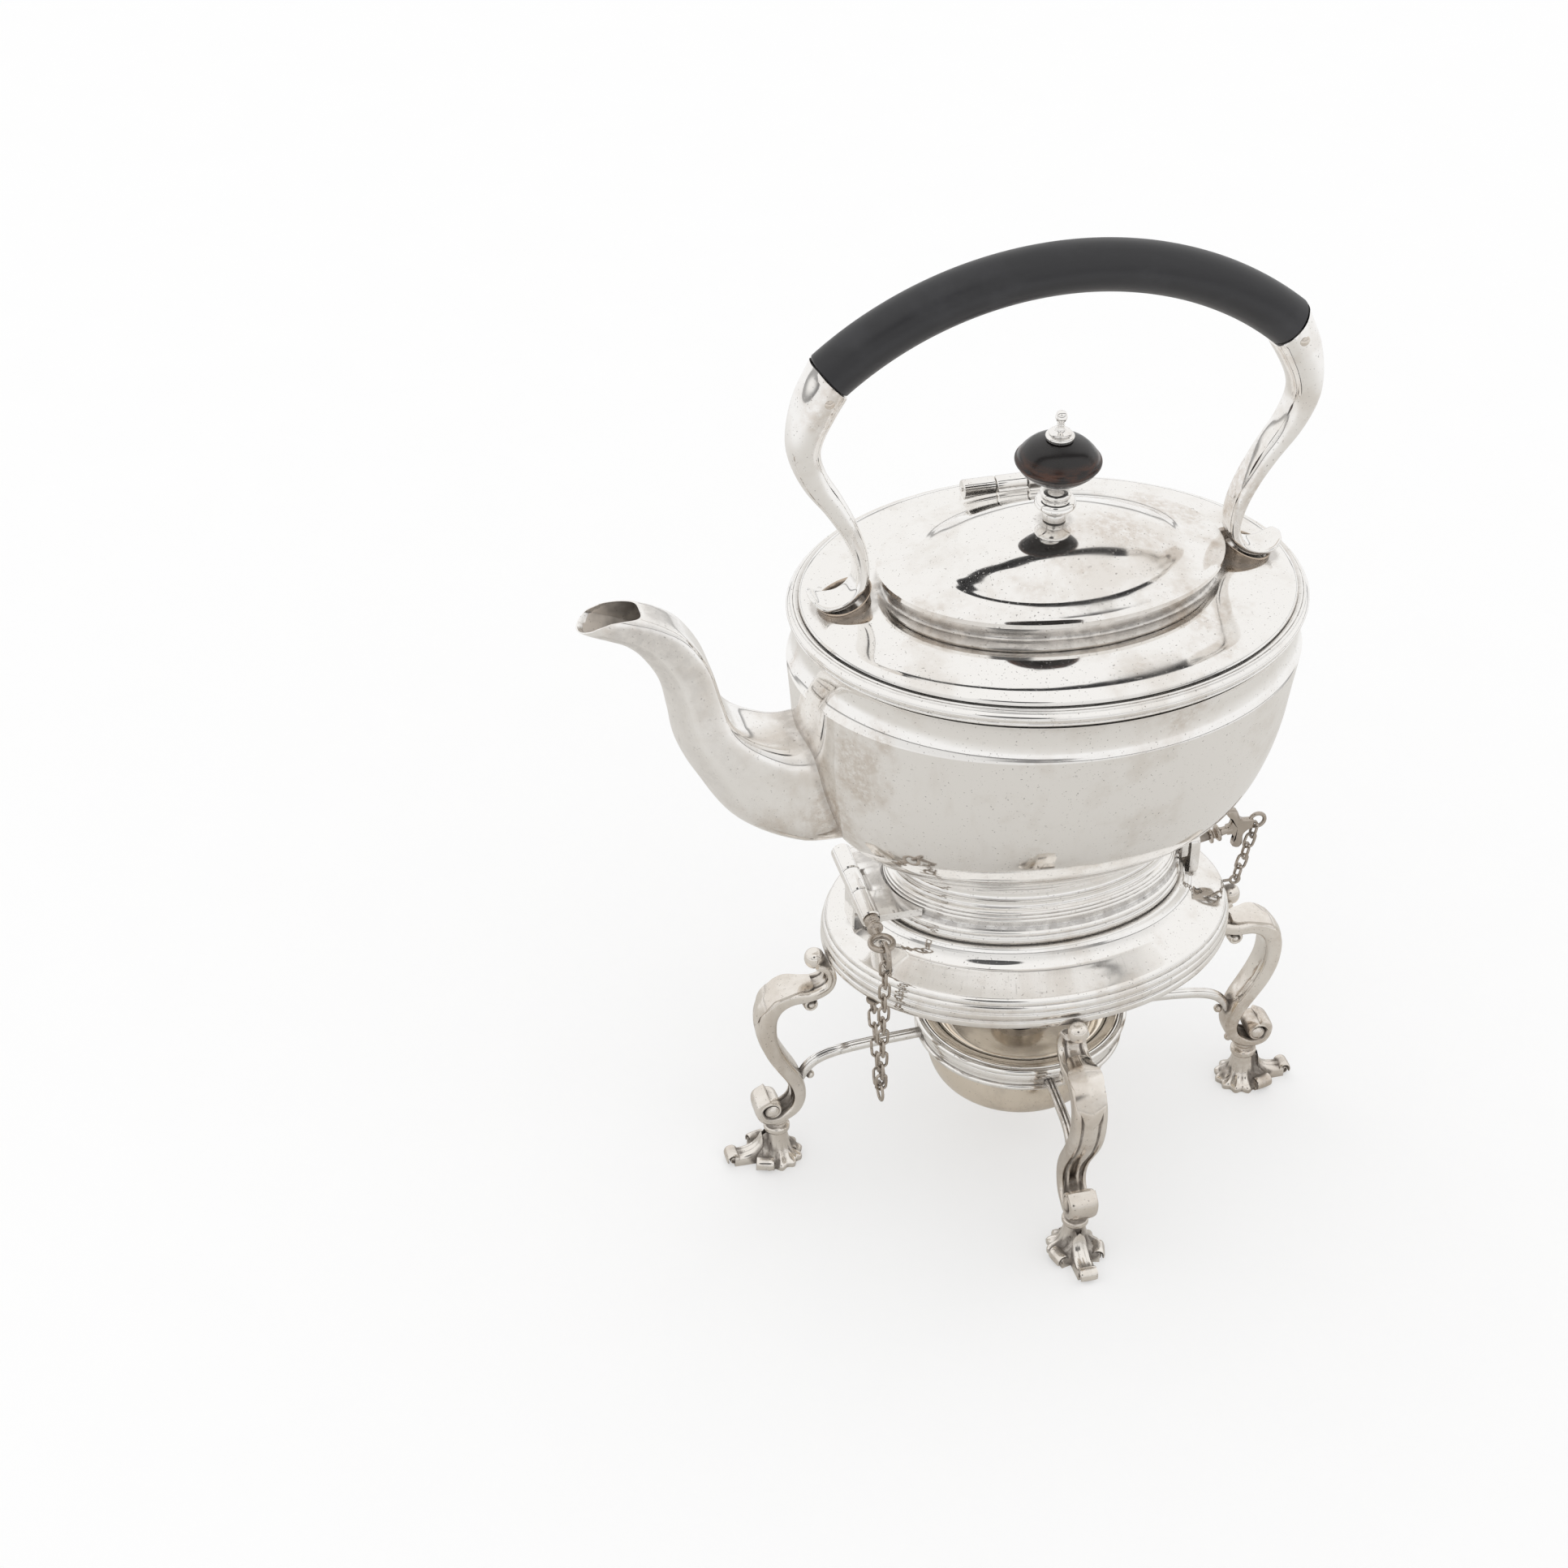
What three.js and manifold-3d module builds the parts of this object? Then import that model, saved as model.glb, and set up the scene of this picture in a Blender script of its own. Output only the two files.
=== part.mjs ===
// Spirit kettle on stand: an oval kettle with a hinged lid and a fixed overhead handle. It tilts
// forward on a pinned hinge over an oval ring, which four scroll legs carry above a spirit burner.
// Millimetres, +Z up, spout towards -X. The legs stand at the ends of the oval's two axes.

import * as THREE from 'three';
import { mergeVertices } from 'three/addons/utils/BufferGeometryUtils.js';
import Module from 'manifold-3d';

const wasm = await Module();
wasm.setup();

// Clearances and sheet
const GAP = 0.3;
const RUNNING_GAP = 0.35;
const OVERRUN = 5;
const SHEET = 1.4;

// Stand
const STAND = {
  plateRun: 15.9, plateRunAcross: 16.1, plateTop: 95, bandHeight: 10.7, bandThickness: 3.2,
  collarRise: 9.5, collarLip: 2.6, mouthInset: 5.4,
};

// Legs, feet and struts
const LEG = {
  reach: 18.6, strapDrop: 0.7, width: 9.2, thickness: 5.4, footOffset: 3.6,
  voluteRadius: 3.3, eyeRadius: 3.8, eyeHeight: 23.4, collarHeight: 3.2, collarRadius: 4.4,
};
const FOOT = { height: 12.2, span: 28.6, toeWidth: 5.8, toeRoll: 2.7, skirtRadius: 8.4 };
const STRUT = { thickness: 3.5, startHeight: 33.6, endHeight: 44.6, start: 11.4 };

// Burner and its ring
const RING = { radius: 36.2, top: 51.2, height: 9.6, thickness: 4.4, ledge: 1.8, ledgeDrop: 1.6 };
const BURNER = {
  depth: 26.8, flange: 1.2, dishDepth: 4.6, dishRim: 5.2, tubeRadius: 9, tubeHeight: 9, wickHeight: 1.8,
};

// Kettle body
const KETTLE = {
  footLength: 103.2, footWidth: 70.2, footHeight: 19.4, footWall: 2.4,
  creaseInset: 0.1, creaseInsetAcross: 2.5, creaseHeight: 198,
  neckHeight: 14.6, rimLength: 164.8, rimWidth: 132, rimHeight: 6.2, rimThickness: 4,
  shoulderRise: 5.2, lidCollarHeight: 5.2,
};

// Lid and finial
const LID = {
  inset: 27.2, insetAcross: 28.2, edge: 1.5, rise: 12.9, bezelDepth: 4.6, bezelInset: 3.6,
};
const FINIAL = {
  stemHeight: 13.2, stemRadius: 6.4, knobRadius: 13.3, knobHeight: 14.8, washerRadius: 4.4, washerHeight: 2.2,
  nutHeight: 9.4, rodRadius: 1.3,
};
const LID_HINGE = { length: 32, radius: 3, pinRadius: 1, axisOut: 4.4, axisUp: 1.4 };

// Spout
const SPOUT = { overhang: 67.2, tipRise: 7.2, wall: 1.5 };

// Handle
const HANDLE = {
  offset: -1.4, gripRise: 115.4, gripDiameter: 15.8, gripInset: 10.7, gripDrop: 27.6, armDrop: 80.6,
};
const SEAT = { inset: 18, radius: 8.8, thickness: 1.2, lip: 0.8, slope: 7.5, bedding: 4 };

// Front hinge between the kettle and the stand
const HINGE = {
  axisOut: 7.4, axisUp: 7.2, length: 37, radius: 3.3, pinRadius: 1.5, middleShare: 0.3,
  plateThickness: 3, postThickness: 4.4,
};
const HINGE_PIN = {
  neckLength: 8.5, neckRadius: 2.5, bowRadius: 3.6, bowWire: 1, ringRadius: 4, ringWire: 0.8, ringHang: 1.15,
};

// Rear lock: a pin on a slope, drawn out at rest and pushed in to hold the kettle down
const LOCK = {
  slope: 12, axisOut: 27.4, axisUp: 9.2, pinRadius: 1.5, tipClearance: 0.7,
  lugThickness: 3.2, lugOut: 2.5, lugWidth: 8, lugRise: 7.2, postOut: 3, postThickness: 3.4, postWidth: 9,
  postRise: 8.6, neckOut: 10, neckLength: 6.4, neckRadius: 2.8, plateLength: 9.6, plateHeight: 16.4,
  plateThickness: 2.4, eyeRadius: 2.6, eyeWire: 0.7,
};

// Chains: each link is an oval of wire at a right angle to its neighbours
const CHAIN = {
  wire: 0.5, slack: 0.4, linkWidth: 4.4, pinLinkLength: 7.1, standLinkLength: 7.4, rearLinkLength: 6.8,
  pinStrandLinks: 11, standStrandLinks: 5, rearLinks: 5, ringRadius: 3.2, endOut: 0.898, endUp: 1.395,
  frontEyeRadius: 2.2, rearEyeRadius: 1.6, rearEyeOut: 4.6, padRadius: 2.4, padThickness: 1,
};

// Facets
const OVAL_FACETS = 32;
const HOOP_FACETS = 28;
const ROUND_FACETS = 20;
const SMALL_FACETS = 10;
const RING_FACETS = 12;
const LINK_FACETS = 8;
const WIRE_SIDES = 5;

const CURL_STRAP_SHARE = 0.3;

const SILVER = { color: 0xd9d6d0, metalness: 1, roughness: 0.16 };
const EBONY = { color: 0x2c2c30, metalness: 0, roughness: 0.42 };
const WOOD = { color: 0x33292a, metalness: 0, roughness: 0.4 };
const COTTON = { color: 0xe6e0d0, metalness: 0, roughness: 0.9 };

// Welds a three.js geometry into one closed surface with its faces pointing out.
function weld(geometry) {
  const bare = new THREE.BufferGeometry();
  bare.setAttribute('position', geometry.getAttribute('position').clone());
  if (geometry.getIndex()) bare.setIndex(geometry.getIndex().clone());
  const merged = mergeVertices(bare, 1e-4);
  const place = merged.getAttribute('position');
  const index = merged.getIndex().array;
  const faces = [];
  const [a, b, c] = [new THREE.Vector3(), new THREE.Vector3(), new THREE.Vector3()];
  let volume = 0;
  for (let i = 0; i < index.length; i += 3) {
    const [p, q, r] = index.slice(i, i + 3);
    if (p === q || q === r || r === p) continue;
    a.fromBufferAttribute(place, p);
    b.fromBufferAttribute(place, q);
    c.fromBufferAttribute(place, r);
    volume += a.dot(b.cross(c));
    faces.push(p, q, r);
  }
  if (volume < 0) faces.reverse();
  merged.setIndex(faces);
  return merged;
}

function solidOf(geometry) {
  const welded = weld(geometry);
  const vertProperties = Float32Array.from(welded.getAttribute('position').array);
  const triVerts = Uint32Array.from(welded.getIndex().array);
  return new wasm.Manifold(new wasm.Mesh({ numProp: 3, vertProperties, triVerts }));
}

function geometryOf(solid) {
  const { vertProperties, triVerts } = solid.getMesh();
  const geometry = new THREE.BufferGeometry();
  geometry.setAttribute('position', new THREE.BufferAttribute(vertProperties, 3));
  geometry.setIndex(new THREE.BufferAttribute(triVerts, 1));
  return geometry;
}

function join(first, ...others) {
  return geometryOf(others.reduce((sum, other) => sum.add(solidOf(other)), solidOf(first)));
}

function cut(body, ...tools) {
  return geometryOf(tools.reduce((rest, tool) => rest.subtract(solidOf(tool)), solidOf(body)));
}

// Moves each point of an open outline of [across, up] along its normal.
function offsetOutline(points, distance) {
  return points.map((point, i) => {
    const before = points[Math.max(i - 1, 0)];
    const after = points[Math.min(i + 1, points.length - 1)];
    const run = after[0] - before[0];
    const rise = after[1] - before[1];
    const length = Math.hypot(run, rise);
    return [point[0] - (distance * rise) / length, point[1] + (distance * run) / length];
  });
}

// Rows are [half length, half width, height]: an oval section at each height of a revolved outline.
function ovalRevolve(rows, facets = OVAL_FACETS) {
  const outline = rows.map(([half, , up]) => new THREE.Vector2(half, up));
  const geometry = new THREE.LatheGeometry(outline, facets);
  const place = geometry.getAttribute('position');
  for (let i = 0; i < place.count; i += 1) {
    const [half, width] = rows[i % rows.length];
    if (half > 0) place.setZ(i, (place.getZ(i) * width) / half);
  }
  return geometry.rotateX(Math.PI / 2);
}

// A sheet body: the rows are its outer face, and a plainer inner face lies one wall inside them.
function ovalShell(rows, wall, facets = OVAL_FACETS) {
  const inner = offsetOutline(rows.map(([half, , up]) => [half, up]), wall).map(([half, up], i) => {
    const inset = rows[i][0] - half;
    return [Math.max(half, 0), Math.max(rows[i][1] - inset, 0), up];
  });
  if (rows[0][0] === 0) inner[0] = [0, 0, rows[0][2] + wall];
  const coarser = inner.filter((_, i) => i % 2 === 0 || i === rows.length - 1).reverse();
  const closing = rows[0][0] === 0 ? [] : [rows[0]];
  return ovalRevolve([...rows, ...coarser, ...closing], facets);
}

// The same oval grown by a margin, filled to the axis, to cut a neighbour to its face.
function ovalPlug(rows, margin) {
  const grown = offsetOutline(rows.map(([half, , up]) => [half, up]), -margin).map(([half, up], i) => {
    const outset = half - rows[i][0];
    return [Math.max(half, margin), Math.max(rows[i][1] + outset, margin), up];
  });
  const first = grown[0];
  const last = grown[grown.length - 1];
  return ovalRevolve([[0, 0, first[2]], ...grown, [0, 0, last[2]]]);
}

function revolve(points, facets = ROUND_FACETS) {
  const outline = points.map(([across, up]) => new THREE.Vector2(across, up));
  return new THREE.LatheGeometry(outline, facets).rotateX(Math.PI / 2);
}

function tubeAlongZ(outer, inner, from, to, facets = ROUND_FACETS) {
  const outline = [[inner, from], [outer, from], [outer, to], [inner, to], [inner, from]];
  return revolve(outline, facets);
}

function rodAlongZ(radius, from, to, facets = SMALL_FACETS) {
  return revolve([[0, from], [radius, from], [radius, to], [0, to]], facets);
}

// Turns a piece modelled along +Z to lie along +Y or +X.
function alongY(geometry) {
  return geometry.rotateX(-Math.PI / 2);
}

function alongX(geometry) {
  return geometry.rotateY(Math.PI / 2);
}

function block(length, width, height, x, y, z) {
  return new THREE.BoxGeometry(length, width, height).translate(x, y, z);
}

// A bar with a soft-cornered section, swept along a path in the XZ plane.
// Stations are [x, z, half width across Y, half thickness], and squareness sharpens the corners.
function sweep(stations, { steps = 16, sides = 10, squareness = 1 } = {}) {
  const points = stations.map(([x, z]) => new THREE.Vector3(x, 0, z));
  const path = new THREE.CatmullRomCurve3(points, false, 'centripetal');
  const corner = (value) => Math.sign(value) * Math.abs(value) ** (1 / squareness);
  const place = [];
  for (let i = 0; i <= steps; i += 1) {
    const share = i / steps;
    const at = path.getPoint(share);
    const ahead = path.getTangent(share);
    const row = share * (stations.length - 1);
    const low = Math.min(Math.floor(row), stations.length - 2);
    const [halfWidth, halfThickness] = [2, 3].map((column) =>
      THREE.MathUtils.lerp(stations[low][column], stations[low + 1][column], row - low));
    for (let j = 0; j < sides; j += 1) {
      const turn = ((j + 0.5) / sides) * 2 * Math.PI;
      const out = halfThickness * corner(Math.sin(turn));
      place.push(at.x - ahead.z * out, halfWidth * corner(Math.cos(turn)), at.z + ahead.x * out);
    }
  }
  const start = path.getPoint(0);
  const end = path.getPoint(1);
  place.push(start.x, 0, start.z, end.x, 0, end.z);
  const centre = (steps + 1) * sides;
  const faces = [];
  for (let j = 0; j < sides; j += 1) {
    const next = (j + 1) % sides;
    for (let i = 0; i < steps; i += 1) {
      const [a, b] = [i * sides + j, i * sides + next];
      faces.push(a, b, a + sides, b, b + sides, a + sides);
    }
    faces.push(centre, next, j);
    faces.push(centre + 1, steps * sides + j, steps * sides + next);
  }
  const geometry = new THREE.BufferGeometry();
  geometry.setAttribute('position', new THREE.Float32BufferAttribute(place, 3));
  geometry.setIndex(faces);
  return geometry;
}

// Points on a spiral in the XZ plane, from one radius and angle to another.
function spiral([x, z], fromRadius, toRadius, fromAngle, toAngle, count) {
  return Array.from({ length: count }, (_, i) => {
    const share = i / (count - 1);
    const radius = THREE.MathUtils.lerp(fromRadius, toRadius, share);
    const angle = THREE.MathUtils.lerp(fromAngle, toAngle, share);
    return [x + radius * Math.cos(angle), z + radius * Math.sin(angle)];
  });
}

// A closed wire ring in the XY plane; with a length above its width it has straight sides along Y.
function wireRing(halfWidth, halfLength, wire, facets = RING_FACETS) {
  const geometry = new THREE.TorusGeometry(halfWidth, wire, WIRE_SIDES, facets);
  const place = geometry.getAttribute('position');
  for (let i = 0; i < place.count; i += 1) {
    const end = Math.abs(place.getY(i)) < wire / 2 ? 0 : Math.sign(place.getY(i));
    place.setY(i, place.getY(i) + (halfLength - halfWidth) * end);
  }
  return geometry;
}

const kettleParts = new THREE.Group();
const lidParts = new THREE.Group();
const burnerParts = new THREE.Group();
const standParts = new THREE.Group();
const pinParts = new THREE.Group();

function add(group, name, geometry, finish = SILVER) {
  const mesh = new THREE.Mesh(weld(geometry), new THREE.MeshStandardMaterial(finish));
  mesh.name = name;
  group.add(mesh);
  return mesh;
}

// Heights that stack up from the table
const bandBottom = STAND.plateTop - STAND.bandHeight;
const standTop = STAND.plateTop + STAND.collarRise;
const footBottom = standTop + GAP;
const footTop = footBottom + KETTLE.footHeight;
const rimBottom = KETTLE.creaseHeight + KETTLE.neckHeight;
const rimTop = rimBottom + KETTLE.rimHeight;
const shoulderTop = rimTop + KETTLE.shoulderRise;
const lidCollarTop = shoulderTop + KETTLE.lidCollarHeight;
const lidBottom = lidCollarTop + GAP;
const lidTop = lidBottom + LID.edge + LID.rise;

// Half lengths and half widths that start from the rim
const rimHalf = KETTLE.rimLength / 2;
const rimHalfWidth = KETTLE.rimWidth / 2;
const lidHalf = rimHalf - LID.inset;
const lidHalfWidth = rimHalfWidth - LID.insetAcross;
const spoutReach = rimHalf + SPOUT.overhang;
const spoutTipZ = rimTop + SPOUT.tipRise;

// Stand ring: collar, sloping plate and reeded band, one sheet with an open mouth for the flame
const STAND_FACE_SHARES = [
  [0.999, 0.999, 0.02], [1.0, 1.0, 0.16], [0.986, 0.982, 0.29], [1.0, 1.0, 0.42], [0.984, 0.98, 0.55],
  [0.996, 0.995, 0.68], [0.978, 0.972, 0.8], [0.984, 0.98, 0.92], [0.966, 0.958, 1.0],
];
const collarHalf = (KETTLE.footLength + STAND.collarLip) / 2;
const collarHalfWidth = (KETTLE.footWidth + STAND.collarLip) / 2;
const standHalf = collarHalf + STAND.plateRun;
const standHalfWidth = collarHalfWidth + STAND.plateRunAcross;

// The plate climbs from the band to the collar: shares of the run inwards and of the rise.
const STAND_PLATE_SHARES = [[0.3, 0.14], [0.6, 0.3], [0.78, 0.42], [0.9, 0.6], [0.965, 0.8], [1, 0.95]];

function standFaceRows() {
  const band = STAND_FACE_SHARES.map(([long, wide, up]) =>
    [standHalf * long, standHalfWidth * wide, bandBottom + STAND.bandHeight * up]);
  const [bandHalf, bandHalfWidth] = band[band.length - 1];
  const plate = STAND_PLATE_SHARES.map(([inward, up]) => [
    THREE.MathUtils.lerp(bandHalf, collarHalf, inward),
    THREE.MathUtils.lerp(bandHalfWidth, collarHalfWidth, inward),
    STAND.plateTop + STAND.collarRise * up,
  ]);
  return [...band, ...plate];
}

function standRing() {
  const face = standFaceRows();
  const mouth = collarHalf - STAND.mouthInset;
  const mouthWidth = collarHalfWidth - STAND.mouthInset;
  const lip = [[collarHalf - SHEET, collarHalfWidth - SHEET, standTop]];
  const seat = [
    [mouth, mouthWidth, standTop],
    [mouth, mouthWidth, standTop - SHEET],
    [collarHalf - SHEET * 2, collarHalfWidth - SHEET * 2, standTop - SHEET],
  ];
  const under = STAND_PLATE_SHARES.filter((_, i) => i % 2 === 1 && i < 5).reverse().map(([inward, up]) => [
    THREE.MathUtils.lerp(standHalf, collarHalf, inward) - STAND.bandThickness / 2,
    THREE.MathUtils.lerp(standHalfWidth, collarHalfWidth, inward) - STAND.bandThickness / 2,
    STAND.plateTop + STAND.collarRise * up - SHEET * 1.2,
  ]);
  const back = [
    [standHalf - STAND.bandThickness, standHalfWidth - STAND.bandThickness, STAND.plateTop - SHEET * 1.5],
    [standHalf - STAND.bandThickness, standHalfWidth - STAND.bandThickness, bandBottom],
  ];
  const first = [face[0][0], face[0][1], bandBottom];
  return ovalRevolve([first, ...face, ...lip, ...seat, ...under, ...back, first]);
}

const [bandFoot] = standFaceRows();
const standCutter = ovalPlug([[bandFoot[0], bandFoot[1], bandBottom], ...standFaceRows()], GAP);
add(standParts, 'stand_ring', standRing());

// Scroll leg, in its own plane: X outwards from the foot's middle, Z up. Each row is a share of the
// reach to the stand's edge, of the strap's height, of the leg's width and of its thickness.
const LEG_STRAP_SHARES = [
  [-0.83, 0.985, 0.36, 0.2], [-1.02, 0.965, 0.4, 0.26], [-1.09, 0.92, 0.42, 0.3], [-1.0, 0.875, 0.44, 0.32],
  [-0.72, 0.853, 0.48, 0.36], [-0.36, 0.853, 0.5, 0.44], [-0.1, 0.825, 0.5, 0.5], [0.04, 0.77, 0.5, 0.52],
  [0.065, 0.705, 0.5, 0.52], [0.02, 0.635, 0.5, 0.5], [-0.1, 0.565, 0.5, 0.48], [-0.26, 0.5, 0.48, 0.46],
  [-0.43, 0.435, 0.46, 0.44], [-0.54, 0.37, 0.44, 0.4], [-0.55, 0.31, 0.42, 0.36], [-0.44, 0.262, 0.42, 0.32],
  [-0.17, 0.228, 0.42, 0.28], [0.1, 0.24, 0.42, 0.26], [0.18, 0.3, 0.42, 0.22], [0, 0.335, 0.42, 0.14],
];
const LEG_COLLAR_SHARES = [[0.8, 0], [1, 0.25], [1, 0.75], [0.7, 1.8]];
const STRAP_MESH = { steps: 26, sides: 6, squareness: 2.4 };
const legSpan = LEG.reach;
const strapRows = LEG_STRAP_SHARES.map(([along, up, wide, thick]) =>
  [along * legSpan, up * (bandBottom - LEG.strapDrop), wide * LEG.width, thick * LEG.thickness]);

function legCurl(centre, radius, halfWidth, turnFrom, turnTo) {
  const strap = radius * CURL_STRAP_SHARE;
  const points = spiral(centre, radius - strap, strap * 1.4, turnFrom, turnTo, 9);
  return sweep(points.map(([x, z]) => [x, z, halfWidth, strap]), { steps: 8, sides: 6, squareness: 2.2 });
}

// Shell foot: a flared neck on two crossed pairs of toes, each toe ending in a small roll.
const TOE_TOP_SHARES = [[0.12, 0.9], [0.2, 0.62], [0.36, 0.42], [0.6, 0.33], [0.8, 0.34]];
const FOOT_SKIRT_SHARES = [[1, 0], [1, 0.16], [0.66, 0.36], [0.5, 0.62], [0.4, 1.02]];

function toePair() {
  const half = FOOT.span / 2;
  const side = TOE_TOP_SHARES.map(([out, up]) => [out * half, up * FOOT.height]);
  const rollCentre = [half - FOOT.toeRoll, FOOT.toeRoll];
  const roll = spiral(rollCentre, FOOT.toeRoll, FOOT.toeRoll, Math.PI * 0.62, -Math.PI / 2, 6);
  const right = [...side, ...roll];
  const outline = [...right, ...right.map(([x, z]) => [-x, z]).reverse()];
  const shape = new THREE.Shape(outline.map(([x, z]) => new THREE.Vector2(x, z)));
  const pair = new THREE.ExtrudeGeometry(shape, { depth: FOOT.toeWidth, bevelEnabled: false });
  return pair.translate(0, 0, -FOOT.toeWidth / 2).rotateX(Math.PI / 2);
}

function legSolid() {
  const halfWidth = LEG.width / 2;
  const [upperX, upperZ] = strapRows[4];
  const [knobX, knobZ] = strapRows[0];
  const upperCentre = [upperX, upperZ - LEG.voluteRadius];
  const eye = alongY(rodAlongZ(LEG.eyeRadius, -halfWidth * 0.8, halfWidth * 0.8));
  const collarRows = LEG_COLLAR_SHARES.map(([out, up]) =>
    [LEG.collarRadius * out, FOOT.height + LEG.collarHeight * up]);
  const skirtRows = FOOT_SKIRT_SHARES.map(([out, up]) => [FOOT.skirtRadius * out, FOOT.height * up]);
  const post = revolve([[0, 0], ...skirtRows, ...collarRows, [0, collarRows[3][1]]], SMALL_FACETS);
  const knob = alongY(rodAlongZ(LEG.voluteRadius, -halfWidth * 0.8, halfWidth * 0.8));
  return join(
    sweep(strapRows, STRAP_MESH),
    legCurl(upperCentre, LEG.voluteRadius, halfWidth * 0.94, Math.PI * 0.6, -Math.PI * 1.2),
    eye.translate(-LEG.footOffset / 4, 0, LEG.eyeHeight),
    knob.translate(knobX + LEG.voluteRadius * 0.1, 0, knobZ + LEG.voluteRadius * 0.5),
    post.translate(-LEG.footOffset, 0, 0),
    toePair(),
    toePair().rotateZ(Math.PI / 2),
  );
}

const legPlaces = [
  ['left', Math.PI, standHalf + legSpan],
  ['front', -Math.PI / 2, standHalfWidth + legSpan],
  ['right', 0, standHalf + legSpan],
  ['back', Math.PI / 2, standHalfWidth + legSpan],
];
const leg = geometryOf(solidOf(legSolid()));

for (const [side, angle, footAt] of legPlaces) {
  add(standParts, `leg_${side}`, cut(leg.clone().translate(footAt, 0, 0).rotateZ(angle), standCutter));
}

// Burner frame: a moulded hoop with a ledge for the burner, and a strut to each leg
const ringBottom = RING.top - RING.height;
const ringBore = RING.radius - RING.thickness;
const ringLedge = ringBore + RING.ledge;
const RING_FACE_SHARES = [
  [0.945, 0], [0.965, 0.2], [0.955, 0.36], [0.965, 0.5], [1, 0.76], [1, 0.94], [0.985, 1],
];
const STRUT_PATH_SHARES = [
  [0, 0], [0.06, 0.36], [0.14, 0.6], [0.27, 0.77], [0.48, 0.88], [0.74, 0.95], [1, 1],
];

function burnerHoop() {
  const face = RING_FACE_SHARES.map(([out, up]) => [RING.radius * out, ringBottom + RING.height * up]);
  const inside = [
    [ringLedge, RING.top], [ringLedge, RING.top - RING.ledgeDrop],
    [ringBore, RING.top - RING.ledgeDrop], [ringBore, ringBottom],
  ];
  return revolve([...face, ...inside, face[0]], HOOP_FACETS);
}

function strutSolid(footAt) {
  const span = footAt - STRUT.start - RING.radius + RING.thickness / 2;
  const rise = STRUT.endHeight - STRUT.startHeight;
  const half = STRUT.thickness / 2;
  const rows = STRUT_PATH_SHARES.map(([along, up]) =>
    [-STRUT.start - along * span, STRUT.startHeight + up * rise, half, half]);
  return sweep(rows, { steps: 8, sides: 6, squareness: 1.4 });
}

function burnerFrame() {
  const legClear = sweep(strapRows.map(([x, z, wide, thick]) => [x, z, wide + GAP, thick + GAP]), STRAP_MESH);
  const struts = legPlaces.map(([, angle, footAt]) =>
    cut(strutSolid(footAt), legClear).translate(footAt, 0, 0).rotateZ(angle));
  return join(burnerHoop(), ...struts);
}
add(standParts, 'burner_frame', burnerFrame());

// Burner: a deep bowl hung by its flange, a dished cover, a wick tube and the wick
const flangeBottom = RING.top - RING.ledgeDrop + GAP;
const flangeTop = flangeBottom + BURNER.flange;
const bowlRadius = ringBore - RUNNING_GAP;
const bowlBottom = flangeBottom - BURNER.depth;
const BURNER_BOWL_SHARES = [[0, 0], [0.7, 0], [0.8, 0.03], [0.9, 0.14], [0.965, 0.34], [1, 0.62], [1, 1]];
const COVER_SHARES = [[1, 0], [0.62, 0.4], [0, 1]];

function burnerBowl() {
  const outside = BURNER_BOWL_SHARES.map(([out, up]) => [bowlRadius * out, bowlBottom + BURNER.depth * up]);
  const inside = BURNER_BOWL_SHARES.map(([out, up]) =>
    [(bowlRadius - SHEET) * out, bowlBottom + SHEET + (BURNER.depth + BURNER.flange - SHEET) * up]);
  const flange = [[ringLedge - RUNNING_GAP, flangeBottom], [ringLedge - RUNNING_GAP, flangeTop]];
  return revolve([...outside, ...flange, ...inside.reverse()], HOOP_FACETS);
}

function burnerCover() {
  const rim = bowlRadius - SHEET - RUNNING_GAP;
  const dish = flangeTop - BURNER.dishDepth;
  const bore = BURNER.tubeRadius + RUNNING_GAP * 1.2;
  const slope = COVER_SHARES.map(([out, down]) =>
    [rim - BURNER.dishRim * (1 - out), flangeTop - BURNER.dishDepth * down]);
  const under = slope.map(([out, up]) => [out, up - SHEET]).reverse();
  const outline = [[bore, dish], ...slope.reverse(), ...under.reverse(), [bore, dish - SHEET], [bore, dish]];
  return revolve(outline, HOOP_FACETS);
}

const tubeBottom = flangeTop - BURNER.dishDepth - SHEET - BURNER.tubeHeight / 2;
const tubeTop = tubeBottom + BURNER.tubeHeight * 1.6;
const tubeBore = BURNER.tubeRadius - SHEET;
add(burnerParts, 'burner_bowl', burnerBowl());
add(burnerParts, 'burner_cover', burnerCover());
add(burnerParts, 'wick_tube', tubeAlongZ(BURNER.tubeRadius, tubeBore, tubeBottom, tubeTop));
const wickTop = tubeTop + BURNER.wickHeight;
add(burnerParts, 'wick', rodAlongZ(tubeBore - GAP, tubeBottom, wickTop, ROUND_FACETS), COTTON);

// Kettle bowl. Rows are shares of the crease's half length and half width, and of the bowl's height.
const BOWL_SHARES = [
  [0, 0, 0], [0.56, 0.45, 0.002], [0.64, 0.53, 0.035], [0.726, 0.607, 0.096], [0.818, 0.706, 0.192],
  [0.888, 0.79, 0.325], [0.938, 0.863, 0.489], [0.967, 0.916, 0.65], [0.983, 0.959, 0.823], [1, 1, 1],
];
// The concave band above the crease: shares of the crease's size and of the neck's height.
const NECK_SHARES = [[0.976, 0.986, 0.22], [0.96, 0.985, 0.5], [0.96, 1.0, 0.78], [0.972, 1.018, 0.94]];

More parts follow.
